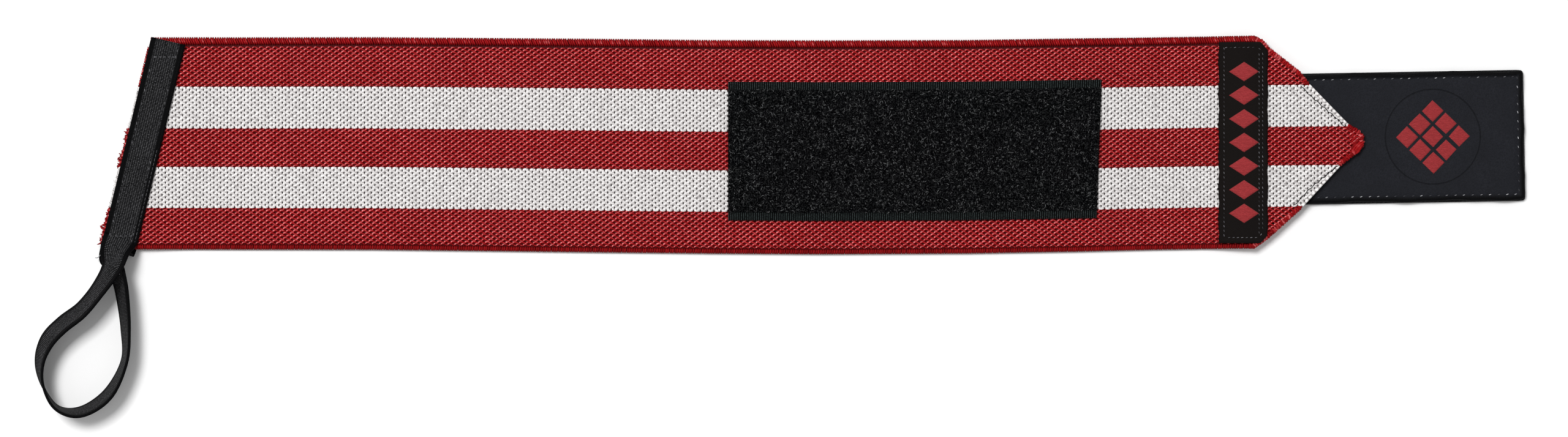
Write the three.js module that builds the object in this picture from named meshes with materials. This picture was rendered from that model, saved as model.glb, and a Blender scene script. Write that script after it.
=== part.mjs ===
// An elastic wrist wrap, laid flat on a table: a wide woven band with a pile patch and a label on its
// face, a hook tab under its pointed end and a thumb loop of ribbed tape at its slanted end.
// Millimetres. X runs along the band towards the tab, Y across it, Z up from the table.

import * as THREE from 'three';

// The woven band
const bandLength = 446.6; // along its middle, from the slanted end to the tip
const bandWidth = 76.2; // three inches, near the slanted end
const bandThickness = 2.2;
const bandEdgeRound = 0.7;
const bandBow = 1.4; // how far the middle of the band sags towards -Y as it lies
const endSlantDeg = 13.5; // lean of the cut end away from square
const slantFade = 48; // length over which sections turn from slanted to square
const pointLength = 39.8;
const tipWidth = 5.7;
const selvedgeWidth = 3;
const selvedgeRise = 0.3; // the +Y edge is rolled, and stands this much over the face

// The loop tape
const tapeWidth = 12.5;
const tapeThickness = 1;
const tapeEdgeRound = 0.25;
const tapeInset = 0.9; // from the band's slanted end to the tape
const frontStripInset = 1.2; // from the band's +Y edge to the sewn end on the face
const backStripInset = 2; // the same on the back
const pinnedInset = 4.2; // from the band's -Y edge to the last stitches, where the tape starts to turn
const loopReach = 58; // from the band's -Y edge to the far bend of the loop
const loopSpread = 31; // between the loop's two sides

// The pile patch
const patchToLabel = 41.9; // from the patch to the label
const patchLength = 134.6;
const patchSkew = 1.8; // the far end runs back this much towards -Y
const patchWidth = 50;
const patchOffset = -1.5; // from the band's own middle there
const patchWeb = 0.8; // thickness of the woven margins
const patchPile = 2; // thickness over the pile
const patchMargin = 2.6;
const patchStep = 0.5; // over which the pile rises from the margin

// The label
const labelWidth = 17.7;
const labelInset = 2; // from the band's long edges
const labelThickness = 0.9;
const labelFromTip = 34.9; // from its far edge to the band's tip
const labelCorner = 2.8; // cut off its two far corners
const labelMargin = 2; // from its edge to its stitch line

// The closing tab
const tabLength = 96.8;
const tabWidth = 46.6;
const tabPastTip = 57.7;
const tabOffset = 1.2; // from the middle of the tip
const tabTiltDeg = 1;
const tabCorner = 1.4;
const coverThickness = 0.9;
const coverMargin = 2.1; // from the cover's edge to its stitch line
const coverPuff = 0.25; // the margin swells this much
const hookThickness = 1.5;
const hookEdge = 1; // thickness at its cut edge
const hookProud = 0.35; // how far the hook layer shows past the cover

// Distances between layers
const layerGap = 0.3;
const rampLength = 19; // over which the band climbs on to the tape or the tab
const rampSteps = 8;
const leastStation = 0.05;

// Sections of the band: along is a share of its length, bow of bandBow, width of bandWidth
const bandSections = [
  { along: 0, bow: 0, width: 1 },
  { along: 0.2, bow: 0, width: 1.004 },
  { along: 0.3, bow: 0.3, width: 1.006 },
  { along: 0.38, bow: 0.55, width: 1.008 },
  { along: 0.47, bow: 0.85, width: 1.008 },
  { along: 0.56, bow: 1, width: 1.01 },
  { along: 0.68, bow: 0.85, width: 1.008 },
  { along: 0.77, bow: 0.4, width: 1.007 },
  { along: 0.83, bow: 0.05, width: 1.003 },
  { along: 0.89, bow: -0.25, width: 1.003 },
  { along: 1, bow: -0.55, width: 1.003 },
];

// The outline of a section, from its underside round by the +Y edge: inset is a share of the edge's
// round, selvedge adds a share of the rolled edge's width, level is a share of the thickness, and
// rolled is the share of the rolled edge's rise
const bandOutline = [
  { edge: 'low', inset: 1, selvedge: 0, level: 0, rolled: 0 },
  { edge: 'high', inset: 1, selvedge: 0, level: 0, rolled: 0 },
  { edge: 'high', inset: 0.3, selvedge: 0, level: 0.22, rolled: 0 },
  { edge: 'high', inset: 0, selvedge: 0, level: 0.55, rolled: 0 },
  { edge: 'high', inset: 0.3, selvedge: 0, level: 0.85, rolled: 1 },
  { edge: 'high', inset: 1, selvedge: 0, level: 1, rolled: 1 },
  { edge: 'high', inset: 0, selvedge: 1, level: 1, rolled: 0 },
  { edge: 'low', inset: 0, selvedge: 1, level: 1, rolled: 0 },
  { edge: 'low', inset: 1, selvedge: 0, level: 0.95, rolled: 0 },
  { edge: 'low', inset: 0.3, selvedge: 0, level: 0.8, rolled: 0 },
  { edge: 'low', inset: 0, selvedge: 0, level: 0.5, rolled: 0 },
  { edge: 'low', inset: 0.3, selvedge: 0, level: 0.22, rolled: 0 },
];

// Sections of the pointed end: along is a share of pointLength; upper and lower are the reach towards
// +Y and -Y, 1 at the band's full half width and 0 at half of tipWidth
const pointSections = [
  { along: 0, upper: 1, lower: 1 },
  { along: 0.08, upper: 0.96, lower: 0.94 },
  { along: 0.14, upper: 0.88, lower: 0.89 },
  { along: 0.42, upper: 0.63, lower: 0.61 },
  { along: 0.5, upper: 0.51, lower: 0.51 },
  { along: 0.79, upper: 0.17, lower: 0.16 },
  { along: 0.86, upper: 0.09, lower: 0.1 },
  { along: 0.97, upper: 0.02, lower: 0.01 },
  { along: 1, upper: -0.01, lower: -0.02 },
];

// Sections of the free loop, from the face round to the back: out is a share of loopReach from the
// band's edge, side of loopSpread towards +X, rise of the height of the tape on the face, for the
// tape's lower edge, and roll turns the ribbed face from up, at 0, through outwards to down, at 180
const loopSections = [
  { out: 0, side: -0.015, rise: 1, roll: 20 },
  { out: 0.11, side: -0.055, rise: 0.77, roll: 48 },
  { out: 0.245, side: -0.21, rise: 0.62, roll: 59 },
  { out: 0.375, side: -0.41, rise: 0.48, roll: 60 },
  { out: 0.47, side: -0.64, rise: 0.36, roll: 59 },
  { out: 0.57, side: -0.815, rise: 0.26, roll: 59 },
  { out: 0.7, side: -0.9, rise: 0.17, roll: 67 },
  { out: 0.845, side: -0.865, rise: 0.11, roll: 79 },
  { out: 0.982, side: -0.705, rise: 0.08, roll: 89 },
  { out: 1.008, side: -0.42, rise: 0.07, roll: 106 },
  { out: 0.9, side: -0.11, rise: 0.07, roll: 112 },
  { out: 0.7, side: 0.08, rise: 0.07, roll: 107 },
  { out: 0.5, side: 0.095, rise: 0.06, roll: 112 },
  { out: 0.284, side: 0.055, rise: 0.05, roll: 118 },
  { out: 0.162, side: 0.005, rise: 0.04, roll: 122 },
  { out: 0.1, side: -0.04, rise: 0.02, roll: 130 },
  { out: 0.06, side: -0.045, rise: 0.01, roll: 144 },
  { out: 0.025, side: -0.035, rise: 0, roll: 172 },
  { out: 0, side: -0.02, rise: 0, roll: 180 },
];
const stepsPerSection = 5;

const halfBand = bandWidth / 2;
const slant = Math.tan(THREE.MathUtils.degToRad(endSlantDeg));
const endLift = tapeThickness + layerGap;
const stripHeight = endLift + bandThickness + layerGap;
const stripCentre = tapeInset + tapeWidth / 2;
const endFlat = tapeInset + tapeWidth + layerGap;
const tabBase = hookThickness + layerGap + coverThickness + coverPuff;
const tabLift = tabBase + layerGap;
const tabEnd = bandLength + tabPastTip;
const tabStart = tabEnd - tabLength;
const pointStart = bandLength - pointLength;
const labelEnd = bandLength - labelFromTip;
const labelStart = labelEnd - labelWidth;
const patchStart = labelStart - patchToLabel - patchLength;
const tabRampEnd = tabStart - 2 * layerGap;

// A value from a table, straight between its rows
function fromTable(rows, along, column) {
  const next = rows.findIndex((row) => row.along >= along);
  if (next <= 0) return rows[next === 0 ? 0 : rows.length - 1][column];
  const [before, after] = [rows[next - 1], rows[next]];
  const share = (along - before.along) / (after.along - before.along);
  return THREE.MathUtils.lerp(before[column], after[column], share);
}

function shares(count) {
  return Array.from({ length: count + 1 }, (_, i) => i / count);
}

// The band's two long edges at a distance from its slanted end
function bandMiddle(x) {
  return -bandBow * fromTable(bandSections, x / bandLength, 'bow');
}

function bandEdges(x) {
  const full = halfBand * fromTable(bandSections, x / bandLength, 'width');
  const along = (x - pointStart) / pointLength;
  const half = (column) => {
    if (along <= 0) return full;
    return THREE.MathUtils.lerp(tipWidth / 2, full, fromTable(pointSections, along, column));
  };
  const middle = bandMiddle(x);
  return { low: middle - half('lower'), high: middle + half('upper') };
}

// Height of the band's underside: it climbs on to the tape at one end and on to the tab at the other
function bandLift(x) {
  const overTape = 1 - THREE.MathUtils.smoothstep(x, endFlat, endFlat + rampLength);
  const overTab = THREE.MathUtils.smoothstep(x, tabRampEnd - rampLength, tabRampEnd);
  return endLift * overTape + tabLift * overTab;
}

function bandFace(x) {
  return bandLift(x) + bandThickness;
}

// The rolled edge is pressed flat under the tape and from the label on
function rolledEdge(x) {
  const pastTape = THREE.MathUtils.smoothstep(x, endFlat, endFlat + selvedgeWidth);
  const pressedFrom = labelStart - 2 * selvedgeWidth;
  const beforeLabel = 1 - THREE.MathUtils.smoothstep(x, pressedFrom, pressedFrom + selvedgeWidth);
  return selvedgeRise * pastTape * beforeLabel;
}

// How far a section leans: fully at the slanted end, not at all past slantFade
function sectionLean(x) {
  return slant * (1 - THREE.MathUtils.smoothstep(x, endFlat, endFlat + slantFade));
}

// Stations in order, with those dropped that lie on the one before
function sortedStations(stations) {
  const sorted = [...stations].sort((a, b) => a - b);
  return sorted.filter((x, i) => i === 0 || x - sorted[i - 1] > leastStation);
}

// Joins rings of points into one closed body. Each ring turns from the first axis of its section to
// the second, and the rings follow each other along the third.
function loft(rings) {
  const size = rings[0].length;
  const positions = rings.flat().flatMap((point) => point.toArray());
  const index = [];
  for (let ring = 0; ring + 1 < rings.length; ring += 1) {
    for (let point = 0; point < size; point += 1) {
      const a = ring * size + point;
      const b = ring * size + ((point + 1) % size);
      index.push(a, b, a + size, b, b + size, a + size);
    }
  }
  const last = (rings.length - 1) * size;
  for (const [i, j, k] of capTriangles(rings[0])) index.push(k, j, i);
  for (const [i, j, k] of capTriangles(rings[rings.length - 1])) index.push(last + i, last + j, last + k);
  const geometry = new THREE.BufferGeometry();
  geometry.setAttribute('position', new THREE.Float32BufferAttribute(positions, 3));
  geometry.setIndex(index);
  geometry.computeVertexNormals();
  return geometry;
}

// Triangles of a flat ring, found in its own plane
function capTriangles(ring) {
  const normal = new THREE.Vector3();
  ring.forEach((point, i) => normal.add(point.clone().cross(ring[(i + 1) % ring.length])));
  normal.normalize();
  const across = ring[1].clone().sub(ring[0]).projectOnPlane(normal).normalize();
  const up = normal.clone().cross(across);
  const outline = ring.map((point) => new THREE.Vector2(point.dot(across), point.dot(up)));
  return THREE.ShapeUtils.triangulateShape(outline, []);
}

// The woven band, section by section. Near the tip the edges take no more than a share of the width.
function bandRing(x) {
  const edges = bandEdges(x);
  const width = edges.high - edges.low;
  const round = Math.min(bandEdgeRound, width / 6);
  const selvedge = Math.min(selvedgeWidth, width / 3);
  const lean = sectionLean(x);
  return bandOutline.map((row) => {
    const inset = row.inset * round + row.selvedge * selvedge;
    const y = row.edge === 'high' ? edges.high - inset : edges.low + inset;
    const z = bandLift(x) + row.level * bandThickness + row.rolled * rolledEdge(x);
    return new THREE.Vector3(x + lean * y, y, z);
  });
}

function elasticBand() {
  const ramps = shares(rampSteps).flatMap((share) => [
    endFlat + share * rampLength,
    endFlat + share * slantFade,
    tabRampEnd - share * rampLength,
  ]);
  const body = bandSections.map((row) => row.along * bandLength);
  const flat = body.filter((x) => x > endFlat + slantFade && x < tabRampEnd - rampLength);
  const point = pointSections.map((row) => pointStart + row.along * pointLength);
  const pressed = [labelStart - selvedgeWidth, labelStart - 2 * selvedgeWidth];
  const stations = [0, endFlat, ...ramps, ...flat, ...point, ...pressed];
  return loft(sortedStations(stations).map(bandRing));
}

// A panel that is sewn down: x runs from 0 to its length, and heightAt gives its thickness at a
// distance from the nearest sewn edge. edgesAt gives its two long edges, baseAt its underside.
function sewnPanel({ stations, insets, edgesAt, baseAt, heightAt, endDistance }) {
  const rings = stations.map((x) => {
    const { low, high } = edgesAt(x);
    const fromEnd = endDistance(x);
    const top = (inset) => baseAt(x) + heightAt(Math.min(inset, fromEnd));
    const up = insets.map((inset) => new THREE.Vector3(x, high - inset, top(inset)));
    const down = [...insets].reverse().map((inset) => new THREE.Vector3(x, low + inset, top(inset)));
    return [new THREE.Vector3(x, low, baseAt(x)), new THREE.Vector3(x, high, baseAt(x)), ...up, ...down];
  });
  return loft(rings);
}

// How much a round or cut corner takes from a long edge, at a distance from the end
function roundCorner(distance, radius) {
  const rest = Math.max(radius - distance, 0);
  return radius - Math.sqrt(radius * radius - rest * rest);
}

// The pile patch: thin woven margins along both long edges and thick pile between them
function loopPatch() {
  const middle = (x) => bandMiddle(patchStart + x) + patchOffset;
  const geometry = sewnPanel({
    stations: shares(10).map((share) => share * patchLength),
    insets: [0, patchMargin, patchMargin + patchStep],
    edgesAt: (x) => ({ low: middle(x) - patchWidth / 2, high: middle(x) + patchWidth / 2 }),
    baseAt: () => bandThickness + layerGap,
    heightAt: (distance) => (distance > patchMargin ? patchPile : patchWeb),
    endDistance: () => patchWidth / 2,
  });
  const position = geometry.getAttribute('position');
  for (let i = 0; i < position.count; i += 1) {
    const skewed = patchSkew * (position.getX(i) / patchLength) * (0.5 - position.getY(i) / patchWidth);
    position.setX(i, patchStart + position.getX(i) - skewed);
  }
  return geometry;
}

// A folded and stitched panel: thin at its edge, swollen in the margin, drawn in at the stitch line.
// A row's inset is a share of the margin, level of the thickness, and puff of the swelling.
const stitchedRows = [
  { along: 0, level: 0.55, puff: 0 },
  { along: 0.22, level: 1, puff: 0.65 },
  { along: 0.6, level: 1, puff: 1 },
  { along: 1, level: 0.85, puff: 0 },
  { along: 1.35, level: 1, puff: 0 },
];

const stitchedInsets = (margin) => stitchedRows.map((row) => row.along * margin);

function stitchedHeight(distance, thickness, margin, puff) {
  const along = distance / margin;
  return thickness * fromTable(stitchedRows, along, 'level') + puff * fromTable(stitchedRows, along, 'puff');
}

function label() {
  const insets = stitchedInsets(labelMargin);
  const ramp = shares(rampSteps).map((share) => tabRampEnd - share * rampLength);
  const margins = insets.flatMap((inset) => [labelStart + inset, labelEnd - inset]);
  const stations = sortedStations([...margins, ...ramp, labelEnd - labelCorner]);
  return sewnPanel({
    stations: stations.filter((x) => x >= labelStart && x <= labelEnd),
    insets,
    edgesAt: (x) => {
      const full = bandEdges(Math.min(x, pointStart));
      const cut = Math.max(0, x - (labelEnd - labelCorner));
      return { low: full.low + labelInset + cut, high: full.high - labelInset - cut };
    },
    baseAt: (x) => bandFace(x) + layerGap,
    heightAt: (distance) => stitchedHeight(distance, labelThickness, labelMargin, 0),
    endDistance: (x) => Math.min(x - labelStart, labelEnd - x),
  });
}

// The two layers of the tab, flat on the table before they are placed
function tabLayer({ base, grow, insets, heightAt }) {
  const length = tabLength + grow;
  const half = tabWidth / 2 + grow;
  const near = shares(4).map((share) => share * tabCorner);
  const margin = insets.filter((inset) => inset > tabCorner);
  const stations = [...near, ...margin, ...[...near, ...margin].map((d) => length - d)].sort((a, b) => a - b);
  return sewnPanel({
    stations,
    insets,
    edgesAt: (x) => {
      const cut = roundCorner(Math.min(x, length - x), tabCorner);
      return { low: -half + cut, high: half - cut };
    },
    baseAt: () => base,
    heightAt,
    endDistance: (x) => Math.min(x, length - x),
  });
}

function placeOnTab(geometry) {
  const tilt = THREE.MathUtils.degToRad(tabTiltDeg);
  const middle = bandMiddle(bandLength) + tabOffset - Math.tan(tilt) * (bandLength - tabStart);
  return geometry.rotateZ(tilt).translate(tabStart, middle, 0);
}

function tabCover() {
  return placeOnTab(
    tabLayer({
      base: hookThickness + layerGap,
      grow: 0,
      insets: stitchedInsets(coverMargin),
      heightAt: (distance) => stitchedHeight(distance, coverThickness, coverMargin, coverPuff),
    }),
  );
}

function hookPad() {
  return placeOnTab(
    tabLayer({
      base: 0,
      grow: hookProud,
      insets: [0, hookProud],
      heightAt: (distance) => (distance > 0 ? hookThickness : hookEdge),
    }),
  );
}

// The tape's middle line: a strip up the face, the free loop and a strip up the back
function tapeStations() {
  const exit = new THREE.Vector3(stripCentre - slant * halfBand, -halfBand, 0);
  const upStrip = new THREE.Vector3(slant, 1, 0);
  const onStrip = (fromEdge, height, roll) => ({
    point: exit.clone().addScaledVector(upStrip, fromEdge).setZ(height),
    roll,
  });
  const frontHeight = stripHeight + tapeThickness / 2;
  const backHeight = tapeThickness / 2;

  const front = shares(3).map((share) =>
    onStrip(THREE.MathUtils.lerp(bandWidth - frontStripInset, pinnedInset, share), frontHeight, 0),
  );
  const back = shares(3).map((share) =>
    onStrip(THREE.MathUtils.lerp(pinnedInset, bandWidth - backStripInset, share), backHeight, 180),
  );

  const rows = [
    { out: -pinnedInset / loopReach, side: (slant * pinnedInset) / loopSpread, rise: 1, roll: 0 },
    ...loopSections,
  ];
  const route = new THREE.CatmullRomCurve3(
    rows.map((row) => new THREE.Vector3(row.side * loopSpread, -row.out * loopReach, 0)),
    false,
    'catmullrom',
  );
  const attitude = new THREE.CatmullRomCurve3(
    rows.map((row) => new THREE.Vector3(row.roll, row.rise * stripHeight, 0)),
    false,
    'catmullrom',
  );
  const free = shares((rows.length - 1) * stepsPerSection).map((share) => {
    const turned = attitude.getPoint(share);
    const roll = THREE.MathUtils.degToRad(turned.x);
    const halfHeight = (tapeWidth * Math.abs(Math.sin(roll)) + tapeThickness * Math.abs(Math.cos(roll))) / 2;
    const height = Math.max(turned.y, 0) + halfHeight;
    return { point: route.getPoint(share).add(exit).setZ(height), roll: turned.x };
  });
  return [...front.slice(0, -1), ...free, ...back];
}

function thumbLoop() {
  const stations = tapeStations();
  const up = new THREE.Vector3(0, 0, 1);
  const [w, t, r] = [tapeWidth / 2, tapeThickness / 2, tapeEdgeRound];
  const outline = [
    [-w + r, -t],
    [w - r, -t],
    [w, -t + r],
    [w, t - r],
    [w - r, t],
    [-w + r, t],
    [-w, t - r],
    [-w, -t + r],
  ];
  return loft(
    stations.map(({ point, roll }, i) => {
      const before = stations[Math.max(i - 1, 0)].point;
      const after = stations[Math.min(i + 1, stations.length - 1)].point;
      const along = after.clone().sub(before).normalize();
      const outwards = along.clone().cross(up).normalize();
      const over = outwards.clone().cross(along);
      const turn = THREE.MathUtils.degToRad(roll);
      const face = over.clone().multiplyScalar(Math.cos(turn)).addScaledVector(outwards, Math.sin(turn));
      const inner = over.clone().multiplyScalar(Math.sin(turn)).addScaledVector(outwards, -Math.cos(turn));
      return outline.map(([x, y]) => point.clone().addScaledVector(inner, x).addScaledVector(face, y));
    }),
  );
}

function piece(name, geometry, colour, roughness) {
  const material = new THREE.MeshStandardMaterial({ color: colour, roughness, metalness: 0 });
  const mesh = new THREE.Mesh(geometry, material);
  mesh.name = name;
  return mesh;
}

const wrap = new THREE.Group();
wrap.add(
  piece('elastic_band', elasticBand(), 0xae2a34, 0.85),
  piece('loop_patch', loopPatch(), 0x161717, 0.95),
  piece('label', label(), 0x27262a, 0.7),
  piece('tab_cover', tabCover(), 0x24252a, 0.65),
  piece('hook_pad', hookPad(), 0x111113, 0.9),
  piece('thumb_loop', thumbLoop(), 0x1c1d1f, 0.8),
);

// The origin is on the table, under the middle of everything
const extent = new THREE.Box3().setFromObject(wrap);
const centre = extent.getCenter(new THREE.Vector3());
wrap.position.set(-centre.x, -centre.y, -extent.min.z);

export default wrap;
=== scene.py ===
# An elastic wrist wrap on a pale table: knitted band, pile patch, label, hook tab and thumb loop.
import math

import bpy
import numpy as np
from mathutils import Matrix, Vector


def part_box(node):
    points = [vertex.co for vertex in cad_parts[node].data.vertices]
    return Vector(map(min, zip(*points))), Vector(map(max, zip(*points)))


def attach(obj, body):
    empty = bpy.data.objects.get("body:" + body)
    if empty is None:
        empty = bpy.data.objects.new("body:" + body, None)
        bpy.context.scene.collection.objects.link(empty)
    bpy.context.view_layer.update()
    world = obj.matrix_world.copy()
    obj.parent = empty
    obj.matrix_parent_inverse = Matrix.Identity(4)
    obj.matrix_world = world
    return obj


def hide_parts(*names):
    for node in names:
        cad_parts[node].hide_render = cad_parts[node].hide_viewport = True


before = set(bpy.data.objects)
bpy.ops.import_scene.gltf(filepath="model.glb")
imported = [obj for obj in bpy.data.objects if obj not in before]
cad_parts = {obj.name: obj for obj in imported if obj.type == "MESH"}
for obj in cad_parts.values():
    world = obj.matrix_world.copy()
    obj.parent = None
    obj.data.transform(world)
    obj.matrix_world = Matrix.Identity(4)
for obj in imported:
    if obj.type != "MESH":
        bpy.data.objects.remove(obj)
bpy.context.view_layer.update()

# All sizes below are in millimetres. Along is counted from the band's slanted end, across from its middle.
band = {
    "length": 446.6,
    "width": 76.2,
    "thickness": 2.2,
    "bow": 1.4,
    "slantDeg": 13.5,
    "slantFade": 48,
    "endFlat": 13.7,
    "endLift": 1.3,
    "ramp": 19,
    "tabLift": 3.25,
    "tabRampEnd": 406.9,
    "pointLength": 39.8,
    "tipWidth": 5.7,
    "rolledRise": 0.3,
    "coreDrop": 0.66,  # from the yarns' crests down to the rubber core
    "coreInset": 0.35,
    "coreRound": 0.7,
    "pointShare": 0.953,  # of the rectangle that the band is cut from, once its corners are cut off
    # share of the length, bow, width
    "sections": [
        (0, 0, 1), (0.2, 0, 1.004), (0.3, 0.3, 1.006), (0.38, 0.55, 1.008), (0.47, 0.85, 1.008),
        (0.56, 1, 1.01), (0.68, 0.85, 1.008), (0.77, 0.4, 1.007), (0.83, 0.05, 1.003),
        (0.89, -0.25, 1.003), (1, -0.55, 1.003),
    ],
    # share of the point, reach of its upper and of its lower side
    "point": [
        (0, 1, 1), (0.08, 0.96, 0.94), (0.14, 0.88, 0.89), (0.42, 0.63, 0.61), (0.5, 0.51, 0.51),
        (0.79, 0.17, 0.16), (0.86, 0.09, 0.1), (0.97, 0.02, 0.01), (1, -0.01, -0.02),
    ],
}
bandSections = np.array(band["sections"], float)
bandPoint = np.array(band["point"], float)
endSlant = math.tan(math.radians(band["slantDeg"]))
pointStart = band["length"] - band["pointLength"]


def smoothStep(value, start, end):
    share = np.clip((np.asarray(value, float) - start) / (end - start), 0, 1)
    return share * share * (3 - 2 * share)


def bandMiddle(along):
    return -band["bow"] * np.interp(along / band["length"], bandSections[:, 0], bandSections[:, 1])


def bandHalf(along):
    return band["width"] / 2 * np.interp(along / band["length"], bandSections[:, 0], bandSections[:, 2])


# The lower and upper edge, pointed end included
def bandEdges(along):
    full, middle = bandHalf(along), bandMiddle(along)
    share = (along - pointStart) / band["pointLength"]
    tip = band["tipWidth"] / 2
    upper = tip + (full - tip) * np.interp(share, bandPoint[:, 0], bandPoint[:, 1])
    lower = tip + (full - tip) * np.interp(share, bandPoint[:, 0], bandPoint[:, 2])
    return middle - lower, middle + upper


def bandLift(station):
    overTape = 1 - smoothStep(station, band["endFlat"], band["endFlat"] + band["ramp"])
    overTab = smoothStep(station, band["tabRampEnd"] - band["ramp"], band["tabRampEnd"])
    return band["endLift"] * overTape + band["tabLift"] * overTab


def sectionLean(station):
    return endSlant * (1 - smoothStep(station, band["endFlat"], band["endFlat"] + band["slantFade"]))


# The section through a point: the sections lean near the slanted end
def stationAt(along, across):
    station = np.array(along, float)
    for _ in range(12):
        station = along - sectionLean(station) * across
    return station


def faceHeight(along, across):
    return bandLift(stationAt(along, across)) + band["thickness"]


# From these millimetres to the frame's metres
bandLow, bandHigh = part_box("elastic_band")
lowestEdge = bandEdges(bandSections[:, 0] * band["length"])[0].min()
originShift = np.array([bandHigh.x * 1000 - band["length"], bandLow.y * 1000 - lowestEdge, 0])


def toFrame(points):
    return (np.asarray(points, float) + originShift) / 1000


# Camera, light and table

studio = {
    "cameraAt": (0.001463, 0.00297, 1.5722),
    "lens": 100,
    "dome": 0.5,
    "keyPower": 88.0,
    "keySize": 1.0,
    "keyAt": (-0.9, 0.96, 3.0),
    "tableSize": 4.0,
    "tableTop": -0.0001,
    "tableColour": (0.9, 0.9, 0.9, 1),
    "tableShade": (0.86, 0.86, 0.86, 1),
}


def addObject(name, data):
    made = bpy.data.objects.new(name, data)
    bpy.context.scene.collection.objects.link(made)
    return made


def buildStudio():
    cameraData = bpy.data.cameras.new("cameraAbove")
    cameraData.lens = studio["lens"]
    cameraData.sensor_width = 36
    cameraData.clip_start = 0.05
    camera = addObject("cameraAbove", cameraData)
    camera.location = studio["cameraAt"]
    bpy.context.scene.camera = camera
    keyData = bpy.data.lights.new("softKey", "AREA")
    keyData.energy = studio["keyPower"]
    keyData.size = studio["keySize"]
    key = addObject("softKey", keyData)
    key.location = studio["keyAt"]
    key.rotation_euler = (-Vector(studio["keyAt"])).to_track_quat("-Z", "Y").to_euler()
    world = bpy.data.worlds.new("paleDome")
    world.use_nodes = True
    background = world.node_tree.nodes["Background"]
    background.inputs["Color"].default_value = (1, 1, 1, 1)
    background.inputs["Strength"].default_value = studio["dome"]
    bpy.context.scene.world = world
    bpy.context.scene.view_settings.view_transform = "Standard"
    half = studio["tableSize"] / 2
    mesh = bpy.data.meshes.new("table")
    corners = [(x * half, y * half, studio["tableTop"]) for x, y in ((-1, -1), (1, -1), (1, 1), (-1, 1))]
    mesh.from_pydata(corners, [], [(0, 1, 2, 3)])
    mesh.materials.append(tableMaterial())
    table = addObject("table", mesh)
    print("studio: camera above, one soft key from the upper left, pale table")


# Node helpers


def addNode(tree, kind, inputs=None, **settings):
    node = tree.nodes.new(kind)
    for name, value in settings.items():
        setattr(node, name, value)
    for name, value in (inputs or {}).items():
        if isinstance(value, bpy.types.NodeSocket):
            tree.links.new(value, node.inputs[name])
        else:
            node.inputs[name].default_value = value
    return node


def mathNode(tree, operation, first, second=0.0, third=0.0):
    return addNode(tree, "ShaderNodeMath", {0: first, 1: second, 2: third}, operation=operation).outputs[0]


def mixColours(tree, factor, first, second):
    return addNode(tree, "ShaderNodeMix", {0: factor, 6: first, 7: second}, data_type="RGBA").outputs[2]


# One colour fades to another by a fixed share of a mask
def fadeTo(tree, colour, other, mask, share):
    return mixColours(tree, mathNode(tree, "MULTIPLY", mask, share), colour, other)


def mapRange(tree, value, fromLow, fromHigh, toLow=0.0, toHigh=1.0):
    inputs = {"Value": value, "From Min": fromLow, "From Max": fromHigh, "To Min": toLow, "To Max": toHigh}
    return addNode(tree, "ShaderNodeMapRange", inputs).outputs["Result"]


def readAttribute(tree, name):
    return addNode(tree, "ShaderNodeAttribute", attribute_name=name).outputs["Fac"]


# A sine of a distance that turns once in each pitch
def waveOf(tree, distance, pitch, kind="SINE"):
    return mathNode(tree, kind, mathNode(tree, "MULTIPLY", distance, 2 * math.pi / pitch))


def startGroup(name, inputs, outputs):
    group = bpy.data.node_groups.new(name, "ShaderNodeTree")
    for label, kind, value in inputs:
        socket = group.interface.new_socket(label, in_out="INPUT", socket_type=kind)
        socket.default_value = value
    for label, kind in outputs:
        group.interface.new_socket(label, in_out="OUTPUT", socket_type=kind)
    return group, group.nodes.new("NodeGroupInput").outputs, group.nodes.new("NodeGroupOutput").inputs


def useGroup(tree, group, inputs):
    return addNode(tree, "ShaderNodeGroup", inputs, node_tree=group).outputs


def srgb(red, green, blue):
    def linear(channel):
        share = channel / 255
        return share / 12.92 if share <= 0.04045 else ((share + 0.055) / 1.055) ** 2.4

    return (linear(red), linear(green), linear(blue), 1)


colourSocket, floatSocket, vectorSocket = "NodeSocketColor", "NodeSocketFloat", "NodeSocketVector"


# Fine fibres: streaks of noise, as a mask from 0 to 1 and as a height
def buildFibreGrain():
    group, given, out = startGroup(
        "fibreGrain",
        [
            ("Place", vectorSocket, (0, 0, 0)),
            ("Stretch", vectorSocket, (2, 8, 8)),
            ("Detail", floatSocket, 3.0),
        ],
        [("Mask", floatSocket), ("Height", floatSocket)],
    )
    product = {0: given["Place"], 1: given["Stretch"]}
    stretched = addNode(group, "ShaderNodeVectorMath", product, operation="MULTIPLY").outputs[0]
    settings = {"Vector": stretched, "Scale": 1.0, "Detail": given["Detail"]}
    noise = addNode(group, "ShaderNodeTexNoise", settings)
    mask = mapRange(group, noise.outputs["Fac"], 0.3, 0.7)
    group.links.new(mask, out["Mask"])
    group.links.new(noise.outputs["Fac"], out["Height"])
    return group


# A plain weave of threads, from distances along and across the cloth
def buildClothWeave():
    group, given, out = startGroup(
        "clothWeave",
        [
            ("Along", floatSocket, 0.0),
            ("Across", floatSocket, 0.0),
            ("Pitch Along", floatSocket, 0.5),
            ("Pitch Across", floatSocket, 0.5),
        ],
        [("Height", floatSocket)],
    )
    waves = []
    for distance, pitch in (("Along", "Pitch Along"), ("Across", "Pitch Across")):
        turns = mathNode(group, "DIVIDE", given[distance], given[pitch])
        waves.append(mathNode(group, "SINE", mathNode(group, "MULTIPLY", turns, math.pi)))
    crossing = mathNode(group, "MULTIPLY", waves[0], waves[1])
    group.links.new(mapRange(group, crossing, -1.0, 1.0), out["Height"])
    return group


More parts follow.
